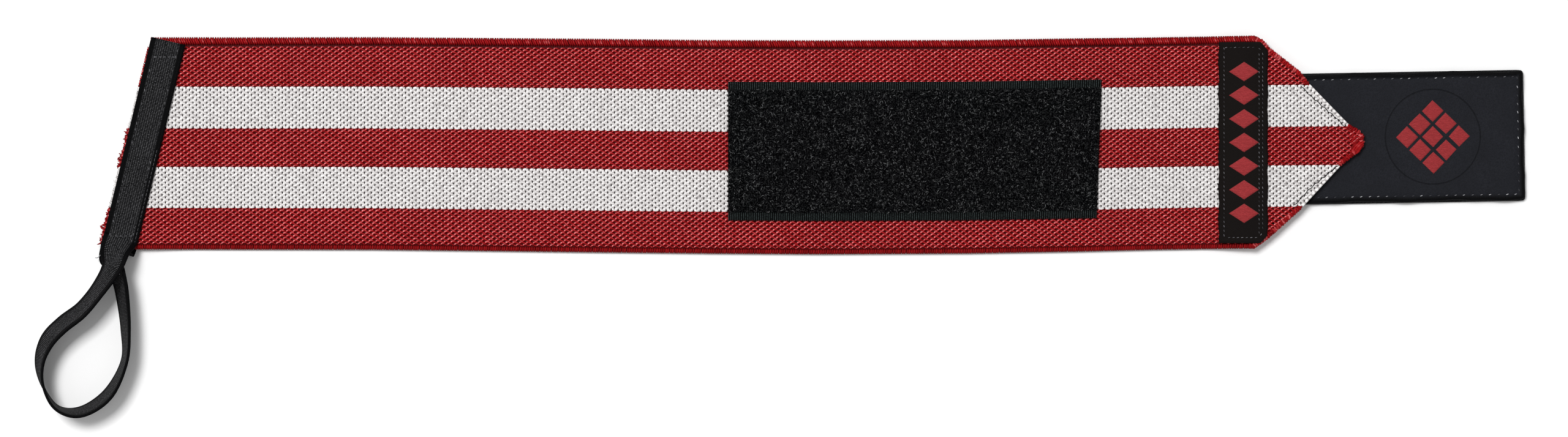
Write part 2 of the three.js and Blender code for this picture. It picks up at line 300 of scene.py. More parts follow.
# Slow drift of tone over a surface
def buildToneDrift():
    group, given, out = startGroup(
        "toneDrift",
        [("Place", vectorSocket, (0, 0, 0)), ("Size", floatSocket, 20.0)],
        [("Mask", floatSocket)],
    )
    scale = mathNode(group, "DIVIDE", 1.0, given["Size"])
    noise = addNode(group, "ShaderNodeTexNoise", {"Vector": given["Place"], "Scale": scale, "Detail": 2.0})
    group.links.new(mapRange(group, noise.outputs["Fac"], 0.3, 0.7), out["Mask"])
    return group


# Sparse pale lint and dust
def buildLint():
    group, given, out = startGroup(
        "lint",
        [("Place", vectorSocket, (0, 0, 0)), ("Spacing", floatSocket, 2.0), ("Size", floatSocket, 0.1)],
        [("Mask", floatSocket)],
    )
    scale = mathNode(group, "DIVIDE", 1.0, given["Spacing"])
    cells = addNode(group, "ShaderNodeTexVoronoi", {"Vector": given["Place"], "Scale": scale})
    near = mathNode(group, "LESS_THAN", cells.outputs["Distance"], given["Size"])
    chosen = addNode(group, "ShaderNodeTexWhiteNoise", {"Vector": cells.outputs["Position"]})
    rare = mathNode(group, "GREATER_THAN", chosen.outputs["Value"], 0.7)
    group.links.new(mathNode(group, "MULTIPLY", near, rare), out["Mask"])
    return group


fibreGrain, clothWeave, toneDrift, lint = buildFibreGrain(), buildClothWeave(), buildToneDrift(), buildLint()


def fibresAt(tree, place, stretch, detail):
    return useGroup(tree, fibreGrain, {"Place": place, "Stretch": stretch, "Detail": detail})


def driftAt(tree, place, size):
    return useGroup(tree, toneDrift, {"Place": place, "Size": size})["Mask"]


def weaveAt(tree, along, across, pitches):
    inputs = {"Along": along, "Across": across, "Pitch Along": pitches[0], "Pitch Across": pitches[1]}
    return useGroup(tree, clothWeave, inputs)["Height"]


# A material, its node tree, its shader and the place on the piece in millimetres
def startMaterial(name, specular, **constants):
    material = bpy.data.materials.new(name)
    material.use_nodes = True
    tree = material.node_tree
    shader = tree.nodes["Principled BSDF"]
    for socket, value in {"Specular IOR Level": specular, **constants}.items():
        shader.inputs[socket].default_value = value
    coordinates = addNode(tree, "ShaderNodeTexCoord").outputs["Object"]
    scaling = {0: coordinates, "Scale": 1000.0}
    place = addNode(tree, "ShaderNodeVectorMath", scaling, operation="SCALE").outputs[0]
    return material, tree, shader, place


# Colour, a roughness that follows a mask between two values, and bump of so many millimetres
def finishSurface(tree, shader, colour, mask, rough, height, bump):
    tree.links.new(colour, shader.inputs["Base Color"])
    tree.links.new(mapRange(tree, mask, 0.0, 1.0, *rough), shader.inputs["Roughness"])
    bumpNode = addNode(tree, "ShaderNodeBump", {"Height": height, "Distance": bump / 1000})
    tree.links.new(bumpNode.outputs["Normal"], shader.inputs["Normal"])


# Knitted yarn: painted shade where it dips and in its holes, painted highlights on its lit crests, with fine
# twisted fibres
def yarnMaterial(name, deep, body, light, grain, specular, stretch, drifting):
    material, tree, shader, place = startMaterial(name, specular)
    fibres = fibresAt(tree, place, stretch, 3.0)
    # crest carries the painted light: 0 gives the deep colour as painted shade, 1 the light colour as a
    # painted highlight
    crest = readAttribute(tree, "crest")
    bodyFrom = 0.55
    colour = mixColours(tree, mapRange(tree, crest, 0.0, bodyFrom), deep, body)
    colour = mixColours(tree, mapRange(tree, crest, bodyFrom, 1.0), colour, light)
    colour = fadeTo(tree, colour, deep, fibres["Mask"], grain)
    colour = fadeTo(tree, colour, deep, driftAt(tree, place, 14.0), drifting)
    finishSurface(tree, shader, colour, fibres["Mask"], (0.5, 0.72), fibres["Height"], 0.12)
    return material


# The core: painted shade on its top, which shows only between the yarns of the face, and the woven stripes
# underneath
def coreMaterial():
    material, tree, shader, place = startMaterial("elasticCore", 0.3)
    parts = addNode(tree, "ShaderNodeSeparateXYZ", {"Vector": place})
    weave = weaveAt(tree, parts.outputs["X"], parts.outputs["Y"], (1.23, 0.91))
    fibres = fibresAt(tree, place, (3.0, 9.0, 9.0), 2.0)
    white = readAttribute(tree, "whiteStripe")
    red = mixColours(tree, weave, srgb(84, 10, 14), srgb(158, 44, 48))
    pale = mixColours(tree, weave, srgb(120, 112, 110), srgb(222, 218, 216))
    back = mixColours(tree, white, red, pale)
    # Painted shade for the holes and grooves: dark red under red yarn, near black under white
    groove = mixColours(tree, white, srgb(80, 0, 4), srgb(10, 6, 6))
    colour = mixColours(tree, readAttribute(tree, "underside"), groove, back)
    colour = fadeTo(tree, colour, groove, fibres["Mask"], 0.3)
    height = mathNode(tree, "ADD", weave, fibres["Height"])
    finishSurface(tree, shader, colour, fibres["Mask"], (0.65, 0.85), height, 0.3)
    return material


# Black cloth with a fine weave from a low to a high tone
def darkCloth(name, low, high, pitches, bump, specular):
    material, tree, shader, place = startMaterial(name, specular)
    along, across = readAttribute(tree, "clothAlong"), readAttribute(tree, "clothAcross")
    weave = weaveAt(tree, along, across, pitches)
    fibres = fibresAt(tree, place, (5.0, 5.0, 5.0), 4.0)
    colour = mixColours(tree, weave, low, high)
    colour = fadeTo(tree, colour, low, fibres["Mask"], 0.45)
    colour = fadeTo(tree, colour, low, driftAt(tree, place, 9.0), 0.3)
    height = mathNode(tree, "MULTIPLY_ADD", fibres["Height"], 0.35, weave)
    finishSurface(tree, shader, colour, fibres["Mask"], (0.5, 0.68), height, bump)
    return material


# Loose fibres and threads whose tone changes from strand to strand; on stitches and pile fibres the pale end
# of the tone is a painted glint
def strandMaterial(name, low, high, rough=0.4, specular=0.15):
    material, tree, shader, place = startMaterial(name, specular)
    fibres = fibresAt(tree, place, (9.0, 9.0, 9.0), 2.0)
    colour = mixColours(tree, readAttribute(tree, "tone"), low, high)
    colour = fadeTo(tree, colour, low, fibres["Mask"], 0.35)
    finishSurface(tree, shader, colour, fibres["Mask"], (rough, rough + 0.2), fibres["Height"], 0.08)
    return material


# Satin stitches: fine parallel threads, a little bent
def embroideryMaterial():
    sheen = {"Sheen Weight": 0.05, "Sheen Roughness": 0.4}
    material, tree, shader, place = startMaterial("redEmbroidery", 0.15, **sheen)
    threadPitch, threadBend = 0.3, 0.25
    parts = addNode(tree, "ShaderNodeSeparateXYZ", {"Vector": place})
    bent = mathNode(tree, "MULTIPLY_ADD", driftAt(tree, place, 1.2), threadBend, parts.outputs["Y"])
    threads = mapRange(tree, waveOf(tree, bent, threadPitch), -1.0, 1.0)
    fibres = fibresAt(tree, place, (1.6, 7.0, 3.0), 4.0)
    colour = mixColours(tree, threads, srgb(142, 38, 42), srgb(172, 60, 63))
    colour = fadeTo(tree, colour, srgb(132, 34, 37), fibres["Mask"], 0.5)
    height = mathNode(tree, "ADD", threads, fibres["Height"])
    finishSurface(tree, shader, colour, fibres["Mask"], (0.55, 0.75), height, 0.1)
    return material


def tableMaterial():
    material, tree, shader, place = startMaterial("paleTable", 0.0, Roughness=0.95)
    drift = driftAt(tree, place, 300.0)
    colour = fadeTo(tree, studio["tableColour"], studio["tableShade"], drift, 0.05)
    tree.links.new(colour, shader.inputs["Base Color"])
    return material


# Yarn colours: deep for painted shade, body for the yarn itself, light for painted highlights
redYarn = yarnMaterial(
    "redYarn", srgb(96, 0, 2), srgb(174, 24, 29), srgb(255, 140, 142), 0.5, 0.08, (2.4, 3.4, 3.4), 0.16
)
whiteYarn = yarnMaterial(
    "whiteYarn", srgb(96, 88, 88), srgb(210, 206, 205), srgb(252, 250, 249), 0.2, 0.2, (2.2, 4.5, 4.5), 0.03
)
yarnMaterials = {"red": redYarn, "white": whiteYarn}
threadDark = strandMaterial("blackThread", srgb(6, 6, 7), srgb(34, 33, 36), 0.45, 0.05)
# Stitch threads are dark; the pale end of each one's tone is a painted glint
threadPale = strandMaterial("greyThread", srgb(60, 60, 64), srgb(200, 200, 204))
threadTape = strandMaterial("tapeThread", srgb(26, 26, 28), srgb(120, 120, 124))
threadLabel = strandMaterial("labelThread", srgb(40, 38, 42), srgb(150, 148, 154))
redEmbroidery = embroideryMaterial()


# Mesh helpers. A part is points, quads, triangles and one row of values for each attribute.


def joinFaces(parts, kind, corners):
    starts = np.cumsum([0] + [len(part["points"]) for part in parts[:-1]])
    faces = [part[kind] + start for part, start in zip(parts, starts) if len(part.get(kind, ()))]
    return np.concatenate(faces) if faces else np.zeros((0, corners), int)


def makePiece(name, parts, material, attributes=(), sharpDeg=None):
    points = np.concatenate([part["points"] for part in parts])
    quads, tris = joinFaces(parts, "quads", 4), joinFaces(parts, "tris", 3)
    mesh = bpy.data.meshes.new(name)
    mesh.vertices.add(len(points))
    mesh.vertices.foreach_set("co", toFrame(points).astype(np.float32).ravel())
    corners = np.concatenate([quads.ravel(), tris.ravel()]).astype(np.int32)
    mesh.loops.add(len(corners))
    mesh.loops.foreach_set("vertex_index", corners)
    mesh.polygons.add(len(quads) + len(tris))
    loopStarts = np.concatenate([np.arange(len(quads)) * 4, quads.size + np.arange(len(tris)) * 3])
    mesh.polygons.foreach_set("loop_start", loopStarts.astype(np.int32))
    mesh.update(calc_edges=True)
    mesh.shade_smooth()
    if sharpDeg:
        mesh.set_sharp_from_angle(angle=math.radians(sharpDeg))
    for label in attributes:
        values = np.concatenate([np.broadcast_to(part[label], len(part["points"])) for part in parts])
        mesh.attributes.new(label, "FLOAT", "POINT").data.foreach_set("value", values.astype(np.float32))
    mesh.materials.append(material)
    piece = addObject(name, mesh)
    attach(piece, "root")
    print(name, len(quads) * 2 + len(tris), "triangles")
    return piece


# Faces of many closed strands, each a row of rings with the same number of sides
def strandFaces(strands, rings, sides):
    strand = (np.arange(strands) * rings * sides)[:, None, None]
    ring = (np.arange(rings - 1) * sides)[None, :, None]
    side = np.arange(sides)[None, None, :]
    here = strand + ring + side
    there = strand + ring + (side + 1) % sides
    walls = np.stack([here, there, there + sides, here + sides], -1).reshape(-1, 4)
    first = (np.arange(strands) * rings * sides)[:, None]
    last = first + (rings - 1) * sides
    if sides == 4:
        caps = np.concatenate([first + np.array([3, 2, 1, 0]), last + np.arange(4)])
        return np.concatenate([walls, caps]), np.zeros((0, 3), int)
    fan = [np.array([0, corner, corner + 1]) for corner in range(1, sides - 1)]
    tris = np.concatenate([first + corners[::-1] for corners in fan] + [last + corners for corners in fan])
    return walls, tris


# A ring is a list of (sideways, upwards) shares of a strand's width and thickness
flatRing = [(-0.5, -0.3), (0.5, -0.3), (0.32, 0.5), (-0.32, 0.5)]
thinRing = [(-0.5, -0.3), (0.5, -0.3), (0.0, 0.6)]
roundRing = [(math.cos(turn) / 2, math.sin(turn) / 2) for turn in np.linspace(0, 2 * math.pi, 9)[:8]]
upwards = (0, 0, 1)


def unit(vectors):
    return vectors / np.maximum(np.linalg.norm(vectors, axis=-1, keepdims=True), 1e-9)


# Strands along their centres, shaped (strands, rings, 3); up points away from the surface
def strandPart(centres, up, width, thickness, ring=flatRing, taper=1.0, **values):
    centres = np.asarray(centres, float)
    strands, rings, _ = centres.shape
    along = unit(np.gradient(centres, axis=1))
    side = unit(np.cross(np.broadcast_to(np.asarray(up, float), centres.shape), along))
    over = np.cross(along, side)
    scale = np.ones((strands, rings)) * taper
    width, thickness = (np.reshape(size, (-1, 1)) * scale for size in (width, thickness))
    corners = [
        centres + side * (width * aside)[..., None] + over * (thickness * above)[..., None]
        for aside, above in ring
    ]
    quads, tris = strandFaces(strands, rings, len(ring))
    part = {"points": np.stack(corners, 2).reshape(-1, 3), "quads": quads, "tris": tris}
    for label, value in values.items():
        value = np.asarray(value, float)
        whole = np.broadcast_to(value if value.ndim == 2 else value.reshape(-1, 1), (strands, rings))
        part[label] = np.repeat(whole.ravel(), len(ring))
    return part


# A closed slab from two grids of points, rows along +X and columns along +Y, joined round the edge
def slabPart(top, bottom, **values):
    rows, columns, _ = top.shape
    count = rows * columns
    grid = np.arange(count).reshape(rows, columns)
    upper = np.stack([grid[:-1, :-1], grid[1:, :-1], grid[1:, 1:], grid[:-1, 1:]], -1).reshape(-1, 4)
    rim = np.concatenate([grid[:, 0], grid[-1, 1:], grid[-2::-1, -1], grid[0, -2:0:-1]])
    following = np.roll(rim, -1)
    walls = np.stack([rim, rim + count, following + count, following], -1)
    part = {
        "points": np.concatenate([top.reshape(-1, 3), bottom.reshape(-1, 3)]),
        "quads": np.concatenate([upper, upper[:, ::-1] + count, walls]),
    }
    for label, sides in values.items():
        part[label] = np.concatenate([np.broadcast_to(side, (rows, columns)).ravel() for side in sides])
    return part


def gridOf(along, across):
    return np.meshgrid(np.asarray(along, float), np.asarray(across, float), indexing="ij")


def evenSteps(start, end, step):
    return np.linspace(start, end, max(2, int(round((end - start) / step)) + 1))


# Rows of a panel's grid: the given distances from both ends, and even steps between them
def panelSteps(start, end, edgeRows, clear, step):
    rows = np.array(edgeRows, float)
    return np.unique(np.concatenate([start + rows, end - rows, evenSteps(start + clear, end - clear, step)]))


def reachAlong(line):
    return np.concatenate([[0], np.cumsum(np.linalg.norm(np.diff(line, axis=0), axis=1))])


# Across a dash: place along it, depth in the cloth, sideways lean and width
dashRows = np.array([
    (-0.5, -0.9, -1, 0.5), (-0.32, 0.1, -0.64, 0.95), (0, 0.45, 0, 1),
    (0.32, 0.1, 0.64, 0.95), (0.5, -0.9, 1, 0.5),
])


# Short sewn dashes along a line of points, each dipping into the cloth at both ends
def dashPart(line, pitch, dash, width, thickness, rng, toneRange=(0.2, 1.0), lean=0.0):
    reach = reachAlong(line)
    middles = np.arange(pitch / 2, reach[-1] - dash / 2, pitch)
    middles = middles + rng.uniform(-0.06, 0.06, len(middles)) * pitch
    spot, depth, sideways, taper = dashRows.T
    at = middles[:, None] + spot[None, :] * dash
    centres = np.stack([np.interp(at, reach, line[:, axis]) for axis in range(3)], -1)
    centres[:, :, 2] += depth * thickness
    aside = unit(np.cross(upwards, np.gradient(centres, axis=1)))
    centres = centres + aside * (sideways * lean)[None, :, None]
    # A random tone for each dash; its pale end stands for a painted glint on dark thread
    tone = rng.uniform(*toneRange, len(middles))
    return strandPart(centres, upwards, width, thickness, taper=taper, tone=tone)


# Dashes from corner to corner; onCloth turns rows of two numbers into points
def outlineDashes(corners, count, onCloth, *stitch, **options):
    parts = []
    for first, last in zip(np.array(corners[:-1]), np.array(corners[1:])):
        line = onCloth(first + (last - first) * np.linspace(0, 1, count)[:, None])
        parts.append(dashPart(line, *stitch, **options))
    return parts


# The band: a rubber core under rows of wavy yarn

knit = {
    "wave": 2.47,  # length of one wave of a yarn
    "sway": 0.22,  # how far a crest leans towards its neighbour
    "holeDepth": 0.66,
    "tuck": 0.42,  # how deep the red yarn lies where it meets white
    "back": 0.17,  # how far its crest draws back there
    "sink": 0.16,  # and how far it sinks
    "jitter": 0.04,
    "deepestNotch": 0.2,  # how far past a yarn's middle a notch may cut
    "bury": 0.04,  # how far the crests lie under the solid's face
    "endDip": 0.3,
    "endDipLength": 1.2,
    "endClear": 0.12,
    "endLight": 0.4,
    # yarns of even and odd number, turn by turn along a wave, in degrees: sway, how far the low and the high
    # edge draw back for a hole, and the light on the low and on the high side
    "evenYarn": [
        (-36, 0.9, 0, 0, 0.05, 0.8), (0, 1, 0.2, 0, 0, 0.6), (36, 0.9, 0, 0, 0.2, 0.2),
        (149, -0.9, 0, 0, 0.5, 0.05), (180, -1, 0, 0.46, 0.75, 0), (211, -0.9, 0, 0, 0.4, 1),
    ],
    "oddYarn": [
        (-31, 0.9, 0, 0, 0.05, 0.8), (0, 1, 0.46, 0, 0, 0.6), (31, 0.9, 0, 0, 0.2, 0.2),
        (144, -0.9, 0, 0, 0.5, 0.05), (180, -1, 0, 0.46, 0.75, 0), (216, -0.9, 0, 0, 0.4, 1),
    ],
    "between": [(84, 0.15, 0, 0, 0.8, 0.2), (276, 0.15, 0, 0, 0.2, 0.8)],
    # degrees from a notch, and how far white bulges over red there
    "scallop": [(0, -0.5), (26, 0.06), (84, 0.24), (180, 0.36), (276, 0.24), (334, 0.06), (360, -0.5)],
    # shoulder is half the width of a crest, flush the depth between lit yarns that touch and groove what
    # unlit ones add, rise the height of the lit parts, edge and crest the tones from unlit to lit;
    # folds sharper than sharpDeg stay sharp, and spread widens the holes
    "red": {
        "shoulder": 0.2, "groove": 0.22, "flush": 0.12, "rise": 0.18, "hole": 0.9, "edge": (0.05, 0.95),
        "crest": (0.26, 1.0), "uneven": 0.25, "sharpDeg": None, "spread": 1.4,
    },
    "white": {
        "shoulder": 0.27, "groove": 0.1, "flush": 0.05, "rise": 0.08, "hole": 1.0, "edge": (0.22, 0.95),
        "crest": (0.42, 1.0), "uneven": 0.3, "sharpDeg": 32, "spread": 1.0,
    },
    "endInside": 0.6,  # yarns stop this far from the pointed end's edge, under its hem
    "underPatch": 3.0,  # yarns stop this far inside what covers them
    # name, yarn, share of the width from the upper edge where it starts and ends, number of yarns
    "stripes": [
        ("upper_red_knit", "red", 0.0404, 0.235, 17),
        ("upper_white_knit", "white", 0.235, 0.4255, 16),
        ("middle_red_knit", "red", 0.4255, 0.614, 16),
        ("lower_white_knit", "white", 0.614, 0.8015, 16),
        ("lower_red_knit", "red", 0.8015, 0.978, 15),
    ],
}
patch = {
    "start": 217.5,
    "length": 134.6,
    "skew": 1.8,
    "width": 50,
    "offset": -1.5,
    "web": 0.8,
    "rib": 0.78,
    "margin": 2.6,
    "step": 0.5,
    "gap": 0.12,
    "solidGap": 0.3,
}


# Where a line across the band at this height meets the pointed end
edgeTable = np.linspace(pointStart, band["length"], 400)
edgeLows, edgeHighs = bandEdges(edgeTable)


def pointEnd(across):
    across = np.asarray(across, float)
    byUpper = np.interp(-across, -edgeHighs, edgeTable)
    byLower = np.interp(across, edgeLows, edgeTable)
    return np.minimum(byUpper, byLower)


def between(ends, share):
    return ends[0] + (ends[1] - ends[0]) * share


# One flat yarn with four corners all along: its two edges and its two crests
def yarnPart(yarn, share, spacing, number, start, end, rng, firstRow, lastRow):
    style = knit[yarn]
    turns = knit["oddYarn"] if number % 2 else knit["evenYarn"]
    if yarn == "white" and (firstRow or lastRow):
        turns = sorted(turns + knit["between"])
    turns = np.array(turns, float)
    hub = np.where(np.abs(turns[:, 0]) < 90, 0, 180)
    turns[:, 0] = hub + (turns[:, 0] - hub) * style["spread"]
    scallop = np.array(knit["scallop"])
    waves = np.arange(int(start / knit["wave"]) - 1, int(end / knit["wave"]) + 2)
    degrees = (waves[:, None] * 360 + turns[None, :, 0]).ravel()
    along = (degrees + (number % 2) * 180) * knit["wave"] / 360
    along = along + rng.uniform(-1, 1, len(along)) * knit["jitter"]
    bulges = [np.interp((degrees + shift) % 360, scallop[:, 0], scallop[:, 1]) for shift in (0, 180)]
    table = np.column_stack([np.tile(turns[:, 1:], (len(waves), 1)), *bulges])
    kept = (along > start + knit["endClear"]) & (along < end - knit["endClear"])
    ends = np.array([[0, 0, 0, knit["endLight"], knit["endLight"], 0, 0]] * 2)
    along = np.concatenate([along[kept], [start, end]])
    order = np.argsort(along)
    table = np.concatenate([table[kept], ends])[order]
    sway, lowHole, highHole, lowLight, highLight, lowBulge, highBulge = table.T
    along = along[order]
    half, middle = bandHalf(along), bandMiddle(along)
    across = middle + half - share * 2 * half
    step = spacing * 2 * half
    noise = rng.uniform(-1, 1, (4, len(along)))
    centre = across + knit["sway"] * sway + noise[0] * knit["jitter"]
    face = faceHeight(along, across) - knit["bury"] + noise[1] * knit["jitter"]
    if end > pointStart:
        face = face - knit["endDip"] * smoothStep(along, end - knit["endDipLength"], end)
    sides = []
    for sign, hole, light, bulge, outer, bright in (
        (-1, lowHole, lowLight, lowBulge, lastRow, noise[2]),
        (1, highHole, highLight, highBulge, firstRow, noise[3]),
    ):
        opened = np.clip(hole / 0.2, 0, 1)
        depth = (style["flush"] + style["groove"] * (1 - light)) * (1 - opened) + knit["holeDepth"] * opened
        reach = step / 2 - hole * style["hole"]
        if yarn == "white":
            reach = np.maximum(reach + bulge * outer, -knit["deepestNotch"])
        else:
            depth = depth + knit["tuck"] * outer
        # Tones from the light tables are painted light; edges turn dark where a hole opens, as painted shade
        edgeTone = between(style["edge"], light) * (1 - opened)
        crestTone = between(style["crest"], light) + style["uneven"] * bright
        besideWhite = float(outer and yarn == "red")
        top = face + style["rise"] * (light - 0.5) - knit["sink"] * besideWhite
        shoulder = sign * (centre - across) + style["shoulder"] - knit["back"] * besideWhite
        shoulder = np.minimum(shoulder, reach - 0.02) if yarn == "white" else shoulder
        sides.append((across + sign * reach, top - depth, edgeTone))
        sides.append((across + sign * shoulder, top, crestTone))
    lowEdge, lowCrest, highEdge, highCrest = sides
    corners = [lowEdge, highEdge, highCrest, lowCrest]
    points = np.stack([np.stack([along, y, z], -1) for y, z, _ in corners], 1)
    quads, _ = strandFaces(1, len(along), 4)
    tones = np.stack([tone for _, _, tone in corners], 1)
    return {"points": points.reshape(-1, 3), "quads": quads, "crest": tones.ravel()}


def coverRange(across):
    low = bandMiddle(patch["start"] + patch["length"] / 2) + patch["offset"] - patch["width"] / 2
    inside = low + knit["underPatch"] < across < low + patch["width"] - knit["underPatch"]
    first = patch["start"] + knit["underPatch"]
    last = patch["start"] + patch["length"] - patch["skew"] - knit["underPatch"]
    return (first, last) if inside else None


def buildKnit():
    rng = np.random.default_rng(11)
    number = 0
    made = []
    for name, yarn, startShare, endShare, count in knit["stripes"]:
        parts = []
        spacing = (endShare - startShare) / count
        for row in range(count):
            share = startShare + spacing * (row + 0.5)
            across = float(bandMiddle(300.0) + bandHalf(300.0) * (1 - 2 * share))
            nearEnd = float(bandMiddle(430.0) + bandHalf(430.0) * (1 - 2 * share))
            start = endSlant * across + 0.3
            end = float(pointEnd(nearEnd)) - knit["endInside"]
            covered = coverRange(across)
            runs = [(start, end)] if covered is None else [(start, covered[0]), (covered[1], end)]
            ends = (row == 0, row == count - 1)
            parts += [yarnPart(yarn, share, spacing, number, first, last, rng, *ends) for first, last in runs]
            number += 1
        made.append(makePiece(name, parts, yarnMaterials[yarn], ["crest"], knit[yarn]["sharpDeg"]))
    return made


# True where a white stripe runs
def stripeAt(along, across):
    share = (bandMiddle(along) + bandHalf(along) - across) / (2 * bandHalf(along))
    white = np.zeros(np.shape(share), bool)
    for _, yarn, startShare, endShare, _ in knit["stripes"]:
        if yarn == "white":
            white |= (share > startShare) & (share < endShare)
    return white


def buildCore():
    blunt = 0.2
    stations = [evenSteps(0, pointStart, 6.0), pointStart + bandPoint[:, 0] * band["pointLength"]]
    stations = np.unique(np.concatenate([*stations, evenSteps(pointStart, band["length"] - blunt, 1.2)]))
    stations = stations[stations <= band["length"] - blunt + 0.01]
    stripeShares = sorted({share for row in knit["stripes"] for share in (row[2], row[3])})
    nearStripes = [s + d for s in stripeShares for d in (-0.001, 0.001)]
    shares = np.unique(np.concatenate([np.linspace(0, 1, 26), nearStripes, [0.004, 0.012, 0.988, 0.996]]))
    station, share = gridOf(stations, shares)
    low, high = bandEdges(station)
    full, middle = bandHalf(station), bandMiddle(station)
    inset = band["coreInset"]
    across = np.clip(middle + full * (1 - 2 * share[:, ::-1]), low + inset, high - inset)
    along = station + sectionLean(station) * across
    along = np.where(station <= 0, along + 0.4, along)
    radius = band["coreRound"]
    toEdge = np.clip(np.minimum(high - inset - across, across - low - inset), 0, radius)
    rounding = 0.35 * (1 - np.sqrt(np.maximum(radius**2 - (radius - toEdge) ** 2, 0)) / radius)
    lift = bandLift(station)
    top = np.stack([along, across, lift + band["thickness"] - band["coreDrop"] - rounding], -1)
    bottom = np.stack([along, across, lift + rounding * 0.8], -1)
    white = stripeAt(station, across)
    part = slabPart(top, bottom, whiteStripe=(white, white), underside=(0.0, 1.0))
    core = makePiece("band_core", [part], coreMaterial(), ["whiteStripe", "underside"])
    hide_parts("elastic_band")
    return core


# Yarns wrapped round the long edges: a rolled upper edge and a plain lower one, painted darker as shade
selvedges = {
    "rolled_selvedge": {
        "side": 1,
        "start": band["endFlat"] - 4,
        "pitch": 0.82,
        "width": 0.74,
        "leanDeg": 24,
        "tones": (0.25, 0.72),
        # distance from the edge, height over the face, share of the painted light: a highlight on top,
        # painted shade where the yarn turns under
        "path": [
            (2.6, -0.5, 0), (2.1, -0.2, 0.35), (1.5, 0.02, 1), (0.8, 0.08, 0.9), (0.25, -0.25, 0.4),
            (0.02, -0.85, 0.2), (0.3, -1.6, 0.1),
        ],
    },
    "lower_selvedge": {
        "side": -1,
        "start": 4,
        "pitch": 0.82,
        "width": 0.9,
        "leanDeg": 8,
        # Darker tones than the upper edge: painted shade on the side away from the light
        "tones": (0.08, 0.34),
        "path": [
            (1.7, -0.45, 0), (1.2, -0.14, 0.7), (0.7, -0.1, 1), (0.3, -0.3, 0.7), (0.08, -0.8, 0.2),
            (0.3, -1.5, 0),
        ],
    },
}


def buildSelvedge(name):
    edge = selvedges[name]
    rng = np.random.default_rng(23)
    starts = np.arange(edge["start"], pointStart + 1.5, edge["pitch"])
    starts = starts + rng.uniform(-0.08, 0.08, len(starts))
    inset, height, share = np.array(edge["path"]).T
    along = starts[:, None] + math.tan(math.radians(edge["leanDeg"])) * inset[None, :]
    low, high = bandEdges(along)
    across = high - inset - 0.02 if edge["side"] > 0 else low + inset + 0.02
    rise = 0
    if edge["side"] > 0:
        rise = band["rolledRise"] * smoothStep(along, band["endFlat"], band["endFlat"] + 3)
        rise = rise * (1 - smoothStep(along, 388, 391)) * (height > -0.3)
    centres = np.stack([along, across, faceHeight(along, across) + height + rise], -1)
    outward = np.stack([0 * inset, edge["side"] * smoothStep(-inset, -1.2, 0) * 1.4, 1 + 0 * inset], -1)
    outward /= np.linalg.norm(outward, axis=1, keepdims=True)
    tones = rng.uniform(*edge["tones"], len(starts))[:, None] * share[None, :]
    taper = [0.6] + [1] * (len(inset) - 2) + [0.6]
    ribs = strandPart(centres, outward[None], edge["width"], 0.5, taper=taper, crest=tones)
    return makePiece(name, [ribs], redYarn, ["crest"])


# A line on the pointed end, a fixed distance inside its upper (1) or lower (-1) edge
def insidePath(side, inset, start, end, step):
    along = evenSteps(start, end, step)
    low, high = bandEdges(along)
    path = np.column_stack([along, high if side > 0 else low])
    heading = np.gradient(path, axis=0)
    heading = (heading + np.roll(heading, 1, axis=0) + np.roll(heading, -1, axis=0)) / 3
    heading[0], heading[-1] = heading[1], heading[-2]
    heading /= np.linalg.norm(heading, axis=1, keepdims=True)
    return path + np.column_stack([heading[:, 1], -heading[:, 0]]) * side * np.reshape(inset, (-1, 1))


hem = {
    "radius": (0.8, 0.9),  # across the edge and upwards, where it is red
    "whiteSize": 0.6,
    "rise": 0.14,  # its top over the knit's face
    "step": 0.15,
    "wave": 0.08,
    "notch": 0.3,  # how deep the white knit's gaps cut into the fold
    "stitchPitch": 0.7,
    "stitchWidth": 0.8,
    # red stitches over the fold: distance from the edge, height over the face
    "stitch": [(1.75, -0.4), (1.4, 0.0), (0.95, 0.12), (0.45, -0.02), (0.08, -0.55), (0.2, -1.4)],
    # distance along the band, distance inside its upper and inside its lower edge
    "seam": [(424, 2.9, 2.7), (429, 2.8, 2.6), (438, 1.7, 0.75)],
    "seamWidth": 0.3,
    "seamKink": 0.32,
    "sunk": 0.4,  # how deep the seam's thread lies in the red knit
}


